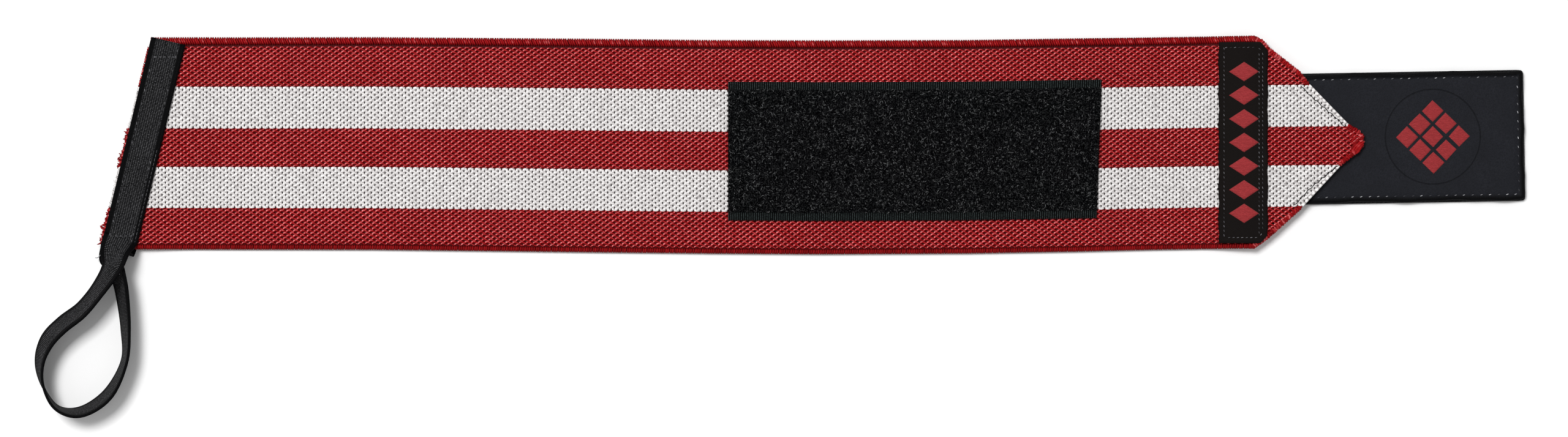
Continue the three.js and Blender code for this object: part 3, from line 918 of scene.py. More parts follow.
# The folded edge of the pointed end, in the colours of the stripes that it crosses
def buildHem():
    rng = np.random.default_rng(29)
    parts = {True: [], False: []}
    for side in (1, -1):
        start, end = pointStart - 0.8, band["length"] - 3.4
        along, across = insidePath(side, hem["radius"][0], start, end, hem["step"]).T
        white = stripeAt(along, across)
        count = len(along)
        ripple = np.sin(along * 2 * math.pi / knit["wave"] + side) + 0.5 * rng.uniform(-1, 1, count)
        gaps = np.abs(np.cos(along * 2 * math.pi / knit["wave"])) ** 8 * white
        size = (1 + hem["wave"] * ripple - hem["notch"] * gaps) * np.where(white, hem["whiteSize"], 1.0)
        size = size * np.interp(along, [along[0], along[0] + 2.5], [0.55, 1])
        along, across = insidePath(side, size * hem["radius"][0], start, end, hem["step"]).T
        height = faceHeight(along, across) + hem["rise"] - hem["radius"][1] * size
        # White folds darken in the knit's notches as painted shade; red folds keep one tone
        tone = np.where(white, 0.95 - 0.8 * gaps, 0.25)
        cuts = np.concatenate([[0], np.nonzero(np.diff(white.astype(int)))[0] + 1, [count]])
        for first, last in zip(cuts[:-1], cuts[1:]):
            run = slice(first, min(last + 1, count))
            centres = np.stack([along[run], across[run], height[run]], -1)[None]
            width, thickness = 2 * hem["radius"][0], 2 * hem["radius"][1]
            shaped = {"taper": size[run][None], "crest": tone[run][None]}
            fold = strandPart(centres, upwards, width, thickness, ring=roundRing, **shaped)
            parts[bool(white[first])].append(fold)
        stitch = np.array(hem["stitch"])
        start, end, fine = pointStart - 1.5, band["length"] - 1.6, 0.1
        lanes = [insidePath(side, inset, start, end, fine) for inset in stitch[:, 0]]
        starts = np.arange(0, len(lanes[0]), round(hem["stitchPitch"] / fine))
        centres = []
        for lane, (_, rise) in zip(lanes, stitch):
            spots = lane[np.clip(starts + rng.integers(-2, 3, len(starts)), 0, len(lane) - 1)]
            centres.append(np.column_stack([spots, faceHeight(spots[:, 0], spots[:, 1]) + rise]))
        centres = np.stack(centres, 1) + rng.uniform(-0.06, 0.06, (len(starts), len(lanes), 3))
        centres = centres[~stripeAt(centres[:, 2, 0], centres[:, 2, 1])]
        outward = np.array([0, side * 0.6, 1]) / 1.17
        tones = rng.uniform(0.1, 0.8, len(centres))[:, None]
        parts[False].append(strandPart(
            centres, outward, hem["stitchWidth"], 0.55, taper=[0.6, 0.95, 1, 1, 0.95, 0.6], crest=tones
        ))
    return [
        makePiece("hem_red", parts[False], redYarn, ["crest"]),
        makePiece("hem_white", parts[True], whiteYarn, ["crest"]),
    ]


def buildPointSeam():
    rng = np.random.default_rng(31)
    parts = []
    for side in (1, -1):
        start, end = pointStart + 1.5, band["length"] - 5.5
        seam = np.array(hem["seam"])
        inset = np.interp(evenSteps(start, end, 0.31), seam[:, 0], seam[:, 1 if side > 0 else 2])
        along, across = insidePath(side, inset, start, end, 0.31).T
        kink = np.abs((along / knit["wave"] * 2) % 2 - 1) * 2 - 1
        across = across + hem["seamKink"] * kink * side + rng.uniform(-0.05, 0.05, len(along))
        sunk = 1 - smoothStep(stripeAt(along, across).astype(float), 0, 1)
        height = faceHeight(along, across) - 0.02 - hem["sunk"] * sunk
        centres = np.stack([along, across, height], -1)[None]
        parts.append(strandPart(centres, upwards, hem["seamWidth"], 0.34, tone=0.05))
    return makePiece("point_seam", parts, threadDark, ["tone"])


fray = {
    "lumps": 130,
    "lumpWidth": (0.7, 1.05),
    "lumpLength": (1.3, 2.3),
    # yarns that lie side by side over the tip: from and to, as distances from the band's end and middle
    "bundle": [
        (-5.4, -3.4, -2.2, 0.3), (-5.0, -3.8, -1.2, 0.4), (-4.6, -4.2, -0.3, 0.0), (-4.1, -4.4, -0.3, -1.1),
        (-3.9, -4.8, -1.2, -2.5), (-4.0, -0.9, -1.7, 1.2), (-4.9, -0.1, -2.9, 1.9), (-5.4, 0.9, -3.9, 2.6),
    ],
    "bundleWidth": 0.95,
    "strands": 480,
    "tones": {"edge_fray_red": (0.0, 0.62), "edge_fray_white": (0.7, 1.0)},
    "width": 0.46,
    "length": (0.5, 1.3),
    "whiteBack": 0.45,  # white yarns are cut shorter
}


# Loose cut yarns: each starts at a root and wanders off
def looseStrands(roots, headings, lengths, rng, rings=6, curl=0.5, sink=0.0):
    count = len(roots)
    steps = np.linspace(0, 1, rings)
    heading = headings[:, None] + curl * rng.uniform(-1, 1, count)[:, None] * steps[None, :] * 2
    stride = lengths[:, None] / (rings - 1)
    x = roots[:, 0, None] + np.cumsum(np.cos(heading) * stride, axis=1) - np.cos(heading[:, :1]) * stride
    y = roots[:, 1, None] + np.cumsum(np.sin(heading) * stride, axis=1) - np.sin(heading[:, :1]) * stride
    bend = rng.uniform(-0.3, 0.35, count)[:, None] * np.sin(steps * math.pi)[None, :]
    z = roots[:, 2, None] + bend - sink * steps[None, :]
    return np.stack([x, y, z], -1)


def buildFray():
    rng = np.random.default_rng(41)
    count = fray["lumps"]
    across = bandMiddle(band["length"]) + rng.uniform(-2.9, 2.9, count)
    along = pointEnd(across) - rng.uniform(1.4, 4.4, count)
    height = faceHeight(along, across) - rng.uniform(0.6, 1.5, count)
    roots = np.stack([along, across, height], -1)
    headings = np.where(across > 1.6, rng.uniform(-1.0, -0.5, count), rng.uniform(0.75, 1.15, count))
    centres = looseStrands(roots, headings, rng.uniform(*fray["lumpLength"], count), rng, curl=0.2, sink=0.3)
    tones = rng.uniform(0.1, 0.85, count)[:, None]
    widths = rng.uniform(*fray["lumpWidth"], count)
    taper = [0.5, 0.9, 1, 1, 0.9, 0.55]
    lumps = strandPart(centres, upwards, widths, widths * 0.85, ring=roundRing, taper=taper, crest=tones)
    ends = np.array(fray["bundle"])[:, None, :]
    steps = np.linspace(0, 1, 9)[None, :]
    along = band["length"] + ends[:, :, 0] + (ends[:, :, 2] - ends[:, :, 0]) * steps
    across = bandMiddle(band["length"]) + ends[:, :, 1] + (ends[:, :, 3] - ends[:, :, 1]) * steps
    wander = 0.1 * np.sin(steps * 9 + rng.uniform(0, 6, (len(ends), 1)))
    height = faceHeight(along, across) - 0.2 + 0.2 * np.sin(steps * math.pi) - 0.3 * steps ** 3
    centres = np.stack([along + wander, across - wander, height], -1)
    tones = rng.uniform(0.1, 0.55, len(ends))[:, None] + 0.1 * np.sin(steps * 14)
    taper = [0.5, 0.85, 1, 1, 0.95, 1, 0.95, 0.8, 0.4]
    shaped = {"taper": taper, "crest": tones}
    bundle = strandPart(centres, upwards, fray["bundleWidth"], 0.8, ring=roundRing, **shaped)
    made = [makePiece("tip_fray", [lumps, bundle], redYarn, ["crest"])]
    count = fray["strands"]
    share = rng.uniform(0.34, 0.97, count)
    half = band["width"] / 2
    across = half * (1 - 2 * share)
    roots = np.stack([endSlant * across + rng.uniform(0.1, 0.9, count), across, 0 * across], -1)
    roots[:, 2] = band["endLift"] + rng.uniform(0.35, 1.9, count)
    headings = math.pi + rng.uniform(-1.2, 1.2, count)
    lengths = rng.uniform(*fray["length"], count) * np.where(rng.uniform(0, 1, count) > 0.9, 1.9, 1)
    centres = looseStrands(roots, headings, lengths, rng, curl=0.9, sink=0.4)
    isWhite = stripeAt(roots[:, 0], roots[:, 1])
    centres[isWhite, :, 0] += fray["whiteBack"]
    for name, chosen, material, slot in (
        ("edge_fray_red", ~isWhite, redYarn, "red_elastic"), ("edge_fray_white", isWhite, whiteYarn, None)
    ):
        tones = rng.uniform(*fray["tones"][name], chosen.sum())[:, None]
        taper = np.array([0.8, 1, 1, 1, 0.85, 0.5]) * (1 if name == "edge_fray_red" else 0.7)
        part = strandPart(centres[chosen], upwards, fray["width"], 0.42, taper=taper, crest=tones)
        made.append(makePiece(name, [part], material, ["crest"]))
    return made


# The thumb loop's tape

tape = {
    "width": 12.5,
    "thickness": 1.0,
    "inset": 0.9,
    "frontInset": 1.2,
    "backInset": 2.0,
    "pinned": 4.2,
    "reach": 58,
    "spread": 31,
    "layerGap": 0.3,
    "rib": 0.78,
    "ribHeight": 0.1,
    "threadPitch": 0.49,
    "plain": 1.7,  # width of the plain margin on each side
    "selvedge": 1.1,
    "stepsPerRow": 9,
    # out, side, rise, roll in degrees
    "sections": [
        (0, -0.015, 1, 20), (0.11, -0.055, 0.77, 48), (0.245, -0.21, 0.62, 59),
        (0.375, -0.41, 0.48, 60), (0.47, -0.64, 0.36, 59), (0.57, -0.815, 0.26, 59),
        (0.7, -0.9, 0.17, 67), (0.845, -0.865, 0.11, 79), (0.982, -0.705, 0.08, 89),
        (1.008, -0.42, 0.07, 106), (0.9, -0.11, 0.07, 112), (0.7, 0.08, 0.07, 107),
        (0.5, 0.095, 0.06, 112), (0.284, 0.055, 0.05, 118), (0.162, 0.005, 0.04, 122),
        (0.1, -0.04, 0.02, 130), (0.06, -0.045, 0.01, 144), (0.025, -0.035, 0, 172), (0, -0.02, 0, 180),
    ],
    "stitchInset": 2.2,
    "stitchPitch": 2.43,
    "stitchDash": 1.0,
    "crossRows": [7.0, 71.5],  # from the band's upper edge
}
stripCentre = tape["inset"] + tape["width"] / 2
stripHeight = band["endLift"] + band["thickness"] + tape["layerGap"]
stripExit = np.array([stripCentre - endSlant * band["width"] / 2, -band["width"] / 2, 0])
stripUp = np.array([endSlant, 1, 0])


# A smooth curve through rows of numbers, a fixed number of steps from row to row
def throughRows(rows, stepsPerRow):
    rows = np.asarray(rows, float)
    padded = np.concatenate([[2 * rows[0] - rows[1]], rows, [2 * rows[-1] - rows[-2]]])
    place = np.linspace(0, len(rows) - 1, (len(rows) - 1) * stepsPerRow + 1)
    row = np.minimum(place.astype(int), len(rows) - 2)
    t = (place - row)[:, None]
    before, first, second, after = padded[row], padded[row + 1], padded[row + 2], padded[row + 3]
    slopeIn, slopeOut = (second - before) / 2, (after - first) / 2
    cubic = 2 * first - 2 * second + slopeIn + slopeOut
    square = -3 * first + 3 * second - 2 * slopeIn - slopeOut
    return cubic * t**3 + square * t**2 + slopeIn * t + first


# Middle of the tape and its roll, from the sewn end on the face round to the sewn end on the back
def tapeRoute():
    def onStrip(fromEdges, height, roll):
        points = stripExit + np.asarray(fromEdges)[:, None] * stripUp
        points[:, 2] = height
        return np.concatenate([points, np.full((len(points), 1), roll)], 1)

    halfThick = tape["thickness"] / 2
    onFace = evenSteps(tape["pinned"], band["width"] - tape["frontInset"], 1.5)
    onBack = evenSteps(tape["pinned"], band["width"] - tape["backInset"], 1.5)
    front = onStrip(onFace[::-1], stripHeight + halfThick, 0)
    back = onStrip(onBack, halfThick, 180)
    lead = (-tape["pinned"] / tape["reach"], endSlant * tape["pinned"] / tape["spread"], 1, 0)
    rows = np.array([lead] + tape["sections"], float)
    free = throughRows(rows, tape["stepsPerRow"])
    roll = np.radians(free[:, 3])
    halfHeight = (tape["width"] * np.abs(np.sin(roll)) + tape["thickness"] * np.abs(np.cos(roll))) / 2
    points = np.stack([free[:, 1] * tape["spread"], -free[:, 0] * tape["reach"], 0 * roll], -1) + stripExit
    points[:, 2] = np.maximum(free[:, 2] * stripHeight, 0) + halfHeight
    free = np.concatenate([points, free[:, 3:]], 1)
    return np.concatenate([front[:-1], free, back])


def tapeFrames(route):
    points = route[:, :3]
    ahead = np.concatenate([points[1:], points[-1:]])
    behind = np.concatenate([points[:1], points[:-1]])
    along = ahead - behind
    along /= np.linalg.norm(along, axis=1, keepdims=True)
    outwards = np.cross(along, (0, 0, 1))
    outwards /= np.linalg.norm(outwards, axis=1, keepdims=True)
    over = np.cross(outwards, along)
    roll = np.radians(route[:, 3])[:, None]
    face = over * np.cos(roll) + outwards * np.sin(roll)
    inner = over * np.sin(roll) - outwards * np.cos(roll)
    return points, face, inner


# Ribbed tape: pale dots, painted as highlights on the raised crossings where cross threads pass over the
# ribs, plain black along both sides
def tapeMaterial():
    material, tree, shader, place = startMaterial("ribbedTape", 0.02)
    along, across = readAttribute(tree, "clothAlong"), readAttribute(tree, "clothAcross")
    fibres = fibresAt(tree, place, (3.0, 3.0, 3.0), 4.0)
    specks = useGroup(tree, lint, {"Place": place, "Spacing": 2.6, "Size": 0.06})
    threads = mapRange(tree, waveOf(tree, along, tape["threadPitch"]), -0.3, 1.0)
    ribs = mapRange(tree, waveOf(tree, across, tape["rib"], "COSINE"), 1.0, -0.6)
    dots = mathNode(tree, "MULTIPLY", threads, ribs)
    dots = mathNode(tree, "MULTIPLY", dots, mapRange(tree, fibres["Mask"], 0.15, 0.85))
    plainFrom = tape["width"] / 2 - tape["plain"]
    field = mapRange(tree, mathNode(tree, "ABSOLUTE", across), plainFrom, plainFrom - 0.5)
    colour = mixColours(tree, dots, srgb(6, 6, 7), srgb(136, 136, 139))
    colour = mixColours(tree, field, srgb(8, 8, 9), colour)
    colour = fadeTo(tree, colour, srgb(12, 12, 13), driftAt(tree, place, 8.0), 0.3)
    colour = mixColours(tree, specks["Mask"], colour, srgb(120, 120, 122))
    height = mathNode(tree, "MULTIPLY_ADD", fibres["Height"], 0.4, dots)
    finishSurface(tree, shader, colour, fibres["Mask"], (0.5, 0.7), height, 0.14)
    return material


def buildTape():
    route = tapeRoute()
    points, face, inner = tapeFrames(route)
    reach = reachAlong(points)
    half, thick = tape["width"] / 2, tape["thickness"] / 2
    ribbed = half - tape["selvedge"]
    inside = evenSteps(-ribbed, ribbed, tape["rib"] / 2)
    across = np.concatenate([[-half, -half + 0.12, -half + 0.4, -ribbed - 0.3], inside])
    across = np.concatenate([across, [ribbed + 0.3, half - 0.4, half - 0.12, half]])
    ribs = np.zeros(len(across))
    ribs[4:-4] = (np.arange(len(inside)) % 2) * tape["ribHeight"]
    rounding = np.array([0.28, 0.1, 0.0, 0.05] + [0.1] * len(inside) + [0.05, 0.0, 0.1, 0.28])
    above = thick - rounding + ribs
    below = -thick + rounding * 0.9 - ribs * 0.3
    # The tape's face points up on the front strip, so its columns run along the inner direction
    columns = points[:, None] + inner[:, None] * across[None, :, None]
    top = columns + face[:, None] * above[None, :, None]
    bottom = columns + face[:, None] * below[None, :, None]
    alongValue = np.broadcast_to(reach[:, None], top.shape[:2])
    acrossValue = np.broadcast_to(across[None, :], top.shape[:2])
    part = slabPart(top, bottom, clothAlong=[alongValue] * 2, clothAcross=[acrossValue] * 2)
    cloth = makePiece("loop_tape", [part], tapeMaterial(), ["clothAlong", "clothAcross"])
    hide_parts("thumb_loop")
    rng = np.random.default_rng(53)
    frontRows = evenSteps(tape["pinned"] - 2.5, band["width"] - tape["frontInset"] - 0.8, 1.0)
    parts = []

    def stripLine(fromEdges, offset):
        line = stripExit + np.asarray(fromEdges)[:, None] * stripUp
        line[:, 0] += offset / math.cos(math.radians(band["slantDeg"]))
        line[:, 2] = stripHeight + tape["thickness"]
        return line

    side = half - tape["stitchInset"]
    stitch = (tape["stitchPitch"], tape["stitchDash"], 0.34, 0.26, rng)
    for offset in (-side, side):
        parts.append(dashPart(stripLine(frontRows, offset), *stitch, toneRange=(-0.5, 0.9), lean=0.12))
    thin = stripLine(frontRows[: len(frontRows) // 2], half - 1.0)
    parts.append(dashPart(thin, 1.6, 1.3, 0.2, 0.16, rng, toneRange=(0.3, 0.7)))
    for fromTop in tape["crossRows"]:
        ends = [stripLine([band["width"] - fromTop], offset)[0] for offset in (-side, side)]
        line = np.linspace(ends[0], ends[1], 12)
        parts.append(dashPart(line, 1.7, 1.2, 0.34, 0.24, rng))
    makePiece("tape_stitching", parts, threadTape, ["tone"])
    tail = np.array([[-8.6, -40.2, 3.4], [-9.2, -40.9, 3.2], [-10.0, -41.3, 2.9], [-10.5, -41.2, 2.6]])[None]
    tailPart = strandPart(tail, upwards, 0.3, 0.3, tone=0.6)
    makePiece("thread_tail", [tailPart], threadPale, ["tone"])


# The pile patch


def patchPoint(u, v):
    middle = bandMiddle(patch["start"] + u) + patch["offset"]
    y = middle + v
    x = patch["start"] + u - patch["skew"] * (u / patch["length"]) * (0.5 - y / patch["width"])
    return x, y


pile = {
    "seed": 61,
    "loops": 8800,
    "bed": 1.35,  # height of the backing under the pile
    "lump": 0.14,
    "length": (0.5, 1.5),
    "arch": (0.2, 0.5),
    "width": (0.18, 0.34),
    "strays": 7,
    "faceStep": 1.5,
}


# Backing of the patch: ribbed along its woven margins, speckled where the pile grows
def webMaterial():
    material, tree, shader, place = startMaterial("patchWeb", 0.015)
    ribs = mapRange(tree, waveOf(tree, readAttribute(tree, "clothAlong"), patch["rib"]), -0.2, 1.0)
    settings = {"Vector": place, "Scale": 2.4, "Detail": 3.0, "Roughness": 0.7}
    speckle = addNode(tree, "ShaderNodeTexNoise", settings).outputs["Fac"]
    specks = mapRange(tree, speckle, 0.5, 0.66)
    fine = fibresAt(tree, place, (4.0, 2.0, 4.0), 3.0)
    ribTone = mathNode(tree, "MULTIPLY", ribs, fine["Mask"])
    margin = mixColours(tree, ribTone, srgb(8, 9, 9), srgb(70, 78, 78))
    bed = mixColours(tree, specks, srgb(1, 1, 2), srgb(46, 47, 48))
    colour = mixColours(tree, readAttribute(tree, "inside"), margin, bed)
    height = mathNode(tree, "ADD", ribs, speckle)
    finishSurface(tree, shader, colour, fine["Mask"], (0.55, 0.75), height, 0.25)
    return material


def buildPatch():
    rng = np.random.default_rng(pile["seed"])
    half, margin = patch["width"] / 2, patch["margin"]
    edgeRows = [0, 0.12, 0.4, 1.2, 2.0, margin, margin + 0.25, margin + patch["step"]]
    across = panelSteps(-half, half, edgeRows, margin + 1, pile["faceStep"])
    along = panelSteps(0, patch["length"], [0, 0.15, 0.5], 1.2, pile["faceStep"])
    u, v = gridOf(along, across)
    x, y = patchPoint(u, v)
    fromEdge = half - np.abs(v)
    fromEnd = np.minimum(u, patch["length"] - u)
    onPile = smoothStep(fromEdge, margin, margin + patch["step"])
    height = patch["web"] + (pile["bed"] - patch["web"]) * onPile
    height = height + onPile * rng.uniform(-1, 1, u.shape) * pile["lump"]
    edge = np.minimum(fromEdge, fromEnd)
    height = height - 0.25 * (1 - smoothStep(edge, 0, 0.4))
    base = band["thickness"] + patch["gap"]
    rise = patch["solidGap"] - patch["gap"]  # the backing takes up the solid's own gap
    top = np.stack([x, y, base + rise + height], -1)
    bottom = np.stack([x, y, np.full_like(x, base)], -1)
    part = slabPart(top, bottom, clothAlong=(u, u), inside=(onPile, 0.0))
    web = makePiece("patch_web", [part], webMaterial(), ["clothAlong", "inside"])
    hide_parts("loop_patch")
    bed = base + rise + pile["bed"] - 0.1

    def loops(count, lengths, arches, widths, inset=0.1):
        u = rng.uniform(inset, patch["length"] - inset, count)
        v = rng.uniform(-half + margin + 0.2, half - margin - 0.2, count)
        x, y = patchPoint(u, v)
        heading = rng.uniform(0, 2 * math.pi, count)
        length = rng.uniform(*lengths, count)
        steps = np.linspace(-0.5, 0.5, 4)
        turn = rng.uniform(-1.5, 1.5, count)
        angle = heading[:, None] + turn[:, None] * steps[None, :]
        px = x[:, None] + np.cos(angle) * length[:, None] * steps[None, :]
        py = y[:, None] + np.sin(angle) * length[:, None] * steps[None, :]
        arch = rng.uniform(*arches, count)
        lift = rng.uniform(-0.12, 0.1, count)
        pz = bed + lift[:, None] + arch[:, None] * np.array([-0.15, 0.95, 1.0, -0.1])[None, :]
        centres = np.stack([px, py, pz], -1)
        tone = rng.uniform(0, 1, count) ** 2.5
        width = rng.uniform(*widths, count)
        taper = [0.75, 1, 1, 0.7]
        return strandPart(centres, upwards, width, width * 0.9, ring=thinRing, taper=taper, tone=tone)

    # The pile is black; the few pale fibres, made rare by the tone's power, are painted glints
    pileMaterial = strandMaterial("curlyPile", srgb(1, 1, 2), srgb(110, 111, 112), 0.42, 0.015)
    tufts = loops(pile["loops"], pile["length"], pile["arch"], pile["width"])
    fibres = makePiece("patch_pile", [tufts], pileMaterial, ["tone"])
    strays = loops(pile["strays"], (2.5, 5.0), (0.45, 0.6), (0.13, 0.17), 3.0)
    strays = makePiece("patch_strays", [strays], threadTape, ["tone"])


# Sewn panels: the label and the tab's cover

label = {
    "start": 394.0,
    "end": 411.7,
    "inset": 2.0,
    "thickness": 0.9,
    "corner": 2.8,
    "margin": 2.0,
    "gap": 0.12,
    "step": 0.52,
    "lozenges": 7,
    "stitchPitch": 1.6,
    "stitchDash": 0.85,
    "lozengeSize": (10.6, 7.0),
    "lozengePitch": 8.5,
}
tab = {
    "length": 96.8,
    "width": 46.6,
    "start": 407.5,
    "offset": 1.2,
    "tiltDeg": 1.0,
    "corner": 1.4,
    "cover": 0.9,
    "margin": 2.1,
    "puff": 0.25,
    "pucker": 0.1,
    "step": 1.05,
    "hook": 1.5,
    "hookEdge": 1.0,
    "hookProud": 0.35,
    "gap": 0.3,
    "stitchPitch": 3.1,
    "stitchDash": 0.9,
    "motif": (64.0, 0.0),  # along the tab and across it
    "lozenge": 8.0,
    "lozengePitch": 6.6,
    "ringRadius": 17.1,
}
sewnRows = np.array([(0, 0.55, 0), (0.22, 1, 0.65), (0.6, 1, 1), (1, 0.85, 0), (1.35, 1, 0)])


# Thickness at a distance from the sewn edge
def sewnHeight(distance, thickness, margin, puff):
    share = distance / margin
    level = np.interp(share, sewnRows[:, 0], sewnRows[:, 1])
    swell = np.interp(share, sewnRows[:, 0], sewnRows[:, 2])
    return thickness * level + puff * swell


# Small padded lozenge of satin stitches, domed, on a height given for each point
def lozengePart(centre, size, heightAt, rise, turnDeg=0.0):
    ring = np.linspace(0, 1, 7)
    count = 40
    angle = np.linspace(0, 2 * math.pi, count, endpoint=False)
    reach = 1 / (np.abs(np.cos(angle)) + np.abs(np.sin(angle)))
    turn = math.radians(turnDeg)
    rx, ry = np.cos(angle) * reach * size[0] / 2, np.sin(angle) * reach * size[1] / 2
    px, py = rx * math.cos(turn) - ry * math.sin(turn), rx * math.sin(turn) + ry * math.cos(turn)
    x = centre[0] + ring[:, None] * px[None, :]
    y = centre[1] + ring[:, None] * py[None, :]
    dome = rise * np.array([1, 1, 0.98, 0.94, 0.86, 0.66, 0.0])[:, None] + 0 * x
    surface = heightAt(x, y)
    top = np.stack([x, y, surface + dome], -1)
    under = np.stack([x[-1], y[-1], surface[-1] - 0.15], -1)
    points = np.concatenate([top.reshape(-1, 3), under])
    rows = len(ring)
    grid = np.arange(rows * count).reshape(rows, count)
    after = np.roll(grid, -1, axis=1)
    walls = np.stack([grid[1:-1], grid[2:], after[2:], after[1:-1]], -1).reshape(-1, 4)
    rim = np.stack([grid[-1], grid[-1] + count, after[-1] + count, after[-1]], -1)
    fan = np.stack([np.full(count, grid[0, 0]), grid[1], after[1]], -1)
    base = rows * count
    corners = base + np.arange(1, count - 1)
    floor = np.stack([np.full(count - 2, base), corners + 1, corners], -1)
    return {"points": points, "quads": np.concatenate([walls, rim]), "tris": np.concatenate([fan, floor])}


def buildLabel():
    rng = np.random.default_rng(71)
    length, margin = label["end"] - label["start"], label["margin"]
    low, high = (float(edge) for edge in bandEdges(np.array(label["start"])))
    low, high = low + label["inset"], high - label["inset"]
    edgeRows = [0, 0.2, 0.45, 0.9, 1.2, 1.7, margin, 2.35, 2.7]
    along = panelSteps(0, length, edgeRows, 3.2, 1.4)
    across = panelSteps(low, high, edgeRows, 3.2, label["step"])
    u, v = gridOf(along, across)
    cut = np.maximum(0, u - (length - label["corner"]))
    span = (high - low) / 2
    y = (low + high) / 2 + (v - (low + high) / 2) * (span - cut) / span
    fromEdge = np.minimum(np.minimum(u, length - u), np.minimum(y - (low + cut), (high - cut) - y))
    fromEdge = np.maximum(fromEdge, 0)
    pulledIn = 0.16 + 0.12 * np.sin(y * 0.55 + 1.0) + 0.08 * np.sin(y * 1.7)
    nearSide = 1 - smoothStep(np.minimum(u, length - u), 0, 2.2)
    x = label["start"] + u - pulledIn * nearSide * np.sign(u - length / 2)
    base = faceHeight(x, y)
    pucker = 0.06 * np.sin(y * 2 * math.pi / 1.55) * np.exp(-((fromEdge - margin) ** 2) / 0.35)
    height = sewnHeight(fromEdge, label["thickness"], margin, 0.0) + pucker
    top = np.stack([x, y, base + 0.3 + height], -1)
    bottom = np.stack([x, y, base + label["gap"]], -1)
    part = slabPart(top, bottom, clothAlong=(u, u), clothAcross=(v, v))
    material = darkCloth("labelCloth", srgb(17, 14, 13), srgb(25, 21, 20), (0.2, 0.2), 0.06, 0.03)
    cloth = makePiece("label_cloth", [part], material, ["clothAlong", "clothAcross"])
    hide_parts("label")

    def surfaceAt(x, y):
        return faceHeight(x, y) + 0.3 + label["thickness"]

    def onLabel(line):
        return np.column_stack([line, surfaceAt(line[:, 0], line[:, 1]) - 0.06])

    left, right = label["start"] + margin, label["end"] - margin
    bottomEdge, topEdge = low + margin, high - margin
    slim = label["corner"] * 0.6
    corners = [
        (left, bottomEdge), (left, topEdge), (right - slim, topEdge), (right, topEdge - slim),
        (right, bottomEdge + slim), (right - slim, bottomEdge), (left, bottomEdge),
    ]
    second = [(right - 1.3, bottomEdge + 1.0), (right - 1.3, topEdge - 1.0)]
    stitch = (label["stitchPitch"], label["stitchDash"], 0.24, 0.22, rng)
    parts = []
    for outline in (corners, second):
        parts += outlineDashes(outline, 60, onLabel, *stitch, toneRange=(0.0, 0.8), lean=0.1)
    stitching = makePiece("label_stitching", parts, threadLabel, ["tone"])
    middle = ((label["start"] + label["end"]) / 2 + 0.2, (low + high) / 2)
    lozenges = []
    for number in range(label["lozenges"]):
        offset = (number - (label["lozenges"] - 1) / 2) * label["lozengePitch"]
        lozenges.append(lozengePart((middle[0], middle[1] + offset), label["lozengeSize"], surfaceAt, 0.3))
    motif = makePiece("label_lozenges", lozenges, redEmbroidery)


# From the tab's own plane to the band's
def onTab(u, v):
    tilt = math.radians(tab["tiltDeg"])
    drop = math.tan(tilt) * (band["length"] - tab["start"])
    middle = float(bandMiddle(band["length"])) + tab["offset"] - drop
    x = tab["start"] + u * math.cos(tilt) - v * math.sin(tilt)
    y = middle + u * math.sin(tilt) + v * math.cos(tilt)
    return x, y


def tabGrid(grow, step, edgeRows):
    length, half = tab["length"] + grow, tab["width"] / 2 + grow
    clear = max(edgeRows) + step
    along = panelSteps(0, length, edgeRows, clear, step)
    u, v = gridOf(along, panelSteps(-half, half, edgeRows, clear, step))
    fromEnd = np.minimum(u, length - u)
    rest = np.maximum(tab["corner"] - fromEnd, 0)
    cut = tab["corner"] - np.sqrt(np.maximum(tab["corner"] ** 2 - rest**2, 0))
    v = v * (half - cut) / half
    fromEdge = np.maximum(np.minimum(fromEnd, (half - cut) - np.abs(v)), 0)
    return u, v, fromEdge, length, half


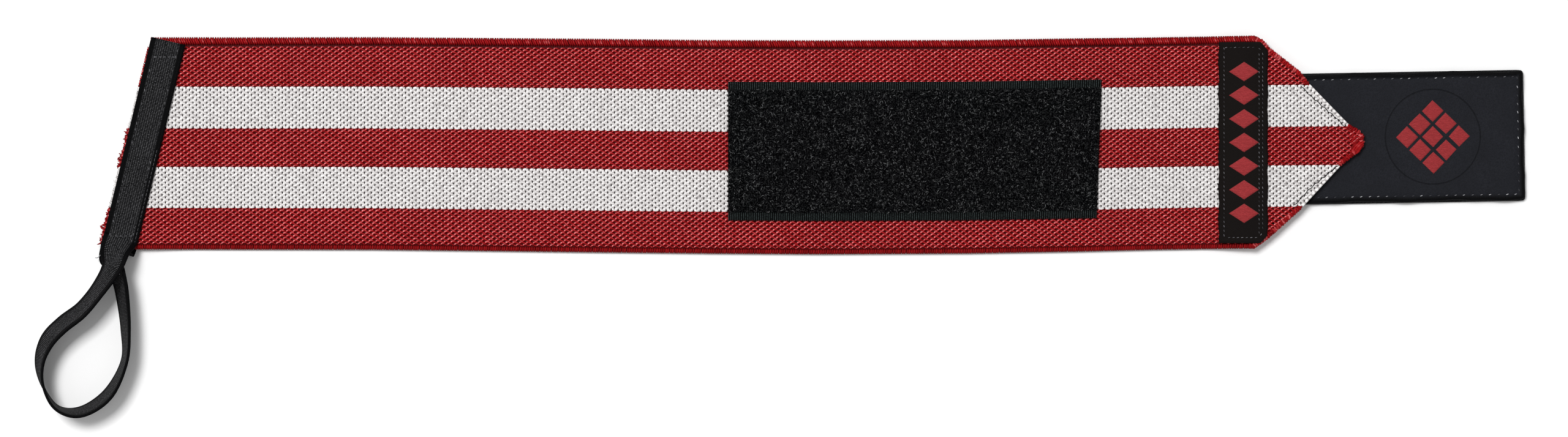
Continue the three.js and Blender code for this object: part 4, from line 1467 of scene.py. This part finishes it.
def buildCover():
    rng = np.random.default_rng(83)
    margin = tab["margin"]
    u, v, fromEdge, length, half = tabGrid(0, tab["step"], [0, 0.2, 0.46, 0.9, 1.26, 1.7, margin, 2.4, 2.85])
    edgeShare = 1 - smoothStep(fromEdge, 0, 3.5)
    wobbleV = 0.3 * np.sin(u * 0.19 + 0.6) + 0.16 * np.sin(u * 0.52 + 2.0)
    wobbleU = 0.25 * np.sin(v * 0.3 + 0.5) + 0.12 * np.sin(v * 0.8)
    v = v + wobbleV * edgeShare * (np.abs(v) > half - 4) * 0.8
    u = u + wobbleU * edgeShare * (u > length - 4) * 0.8
    x, y = onTab(u, v)
    lengthwise = np.where(np.abs(v) > half - 4, u, v)
    atStitches = np.exp(-((fromEdge - margin) ** 2) / 0.5)
    pucker = tab["pucker"] * np.sin(lengthwise * 2 * math.pi / tab["stitchPitch"]) * atStitches
    soft = 0.05 * np.sin(u * 0.21 + v * 0.17) + 0.04 * np.sin(u * 0.09 - v * 0.33 + 1.0)
    height = sewnHeight(fromEdge, tab["cover"], margin, tab["puff"]) - pucker
    height = height + soft * smoothStep(fromEdge, 3, 8)
    base = tab["hook"] + tab["gap"]
    top = np.stack([x, y, base + height], -1)
    bottom = np.stack([x, y, np.full_like(x, base)], -1)
    part = slabPart(top, bottom, clothAlong=(u, u), clothAcross=(v, v), margin=(fromEdge, fromEdge))
    attributes = ["clothAlong", "clothAcross", "margin"]
    cloth = makePiece("cover_cloth", [part], coverMaterial(), attributes)
    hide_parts("tab_cover")

    def coverTop(x, y):
        return np.full_like(np.asarray(x, float), base + tab["cover"])

    def onCover(line):
        x, y = onTab(line[:, 0], line[:, 1])
        return np.column_stack([x, y, coverTop(x, y) - 0.1])

    near, far, side = margin, length - margin, half - margin
    corners = [(near, -side), (far, -side), (far, side), (near, side)]
    stitch = (tab["stitchPitch"], tab["stitchDash"], 0.34, 0.28, rng)
    parts = outlineDashes(corners, 90, onCover, *stitch, toneRange=(-0.5, 0.9), lean=0.14)
    stitching = makePiece("cover_stitching", parts, threadPale, ["tone"])
    lozenges = []
    for row in (-1, 0, 1):
        for column in (-1, 0, 1):
            offU = (row + column) * tab["lozengePitch"] / math.sqrt(2)
            offV = (row - column) * tab["lozengePitch"] / math.sqrt(2)
            centre = onTab(tab["motif"][0] + offU, tab["motif"][1] + offV)
            size = (tab["lozenge"], tab["lozenge"])
            lozenges.append(lozengePart(centre, size, coverTop, 0.22, tab["tiltDeg"]))
    motif = makePiece("cover_lozenges", lozenges, redEmbroidery)


# Thin synthetic cloth with a fine grain, a pressed ring round the motif and a margin that darkens towards the
# edge
def coverMaterial():
    sheen = {"Sheen Weight": 0.02, "Sheen Roughness": 0.5}
    material, tree, shader, place = startMaterial("coverCloth", 0.05, **sheen)
    fibres = fibresAt(tree, place, (2.0, 2.0, 2.0), 5.0)
    squares = []
    for attribute, centre in zip(("clothAlong", "clothAcross"), tab["motif"]):
        offset = mathNode(tree, "SUBTRACT", readAttribute(tree, attribute), centre)
        squares.append(mathNode(tree, "MULTIPLY", offset, offset))
    fromMiddle = mathNode(tree, "SQRT", mathNode(tree, "ADD", *squares))
    fromRing = mathNode(tree, "ABSOLUTE", mathNode(tree, "SUBTRACT", fromMiddle, tab["ringRadius"]))
    pressed = mapRange(tree, fromRing, 0.08, 0.3, 1.0, 0.0)
    # Darker towards the edge, from about 2.4 mm in
    nearEdge = mapRange(tree, readAttribute(tree, "margin"), 1.2, 2.4, 1.0, 0.0)
    colour = mixColours(tree, fibres["Mask"], srgb(23, 24, 28), srgb(34, 35, 40))
    colour = fadeTo(tree, colour, srgb(24, 25, 29), driftAt(tree, place, 7.0), 0.5)
    colour = fadeTo(tree, colour, srgb(9, 9, 11), pressed, 0.5)
    colour = fadeTo(tree, colour, srgb(4, 4, 5), nearEdge, 0.95)
    height = mathNode(tree, "SUBTRACT", fibres["Height"], mathNode(tree, "MULTIPLY", pressed, 1.2))
    finishSurface(tree, shader, colour, fibres["Mask"], (0.5, 0.68), height, 0.12)
    return material


def buildHookLayer():
    grow = tab["hookProud"]
    u, v, fromEdge, length, half = tabGrid(grow, 1.6, [0, 0.15, 0.4, 0.8])
    x, y = onTab(u, v)
    height = tab["hookEdge"] + (tab["hook"] + 0.25 - tab["hookEdge"]) * smoothStep(fromEdge, 0, 0.5)
    top = np.stack([x, y, height], -1)
    bottom = np.stack([x, y, 0.35 * (1 - smoothStep(fromEdge, 0, 0.3))], -1)
    part = slabPart(top, bottom, clothAlong=(u, u), clothAcross=(v, v))
    material = darkCloth("hookLayer", srgb(4, 4, 5), srgb(30, 31, 33), (0.75, 0.75), 0.5, 0.05)
    layer = makePiece("hook_layer", [part], material, ["clothAlong", "clothAcross"])
    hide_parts("hook_pad")


buildStudio()
core = buildCore()
knitted = buildKnit()
trim = [buildSelvedge(name) for name in selvedges] + buildHem() + [buildPointSeam()] + buildFray()
buildTape()
buildPatch()
buildLabel()
buildCover()
buildHookLayer()
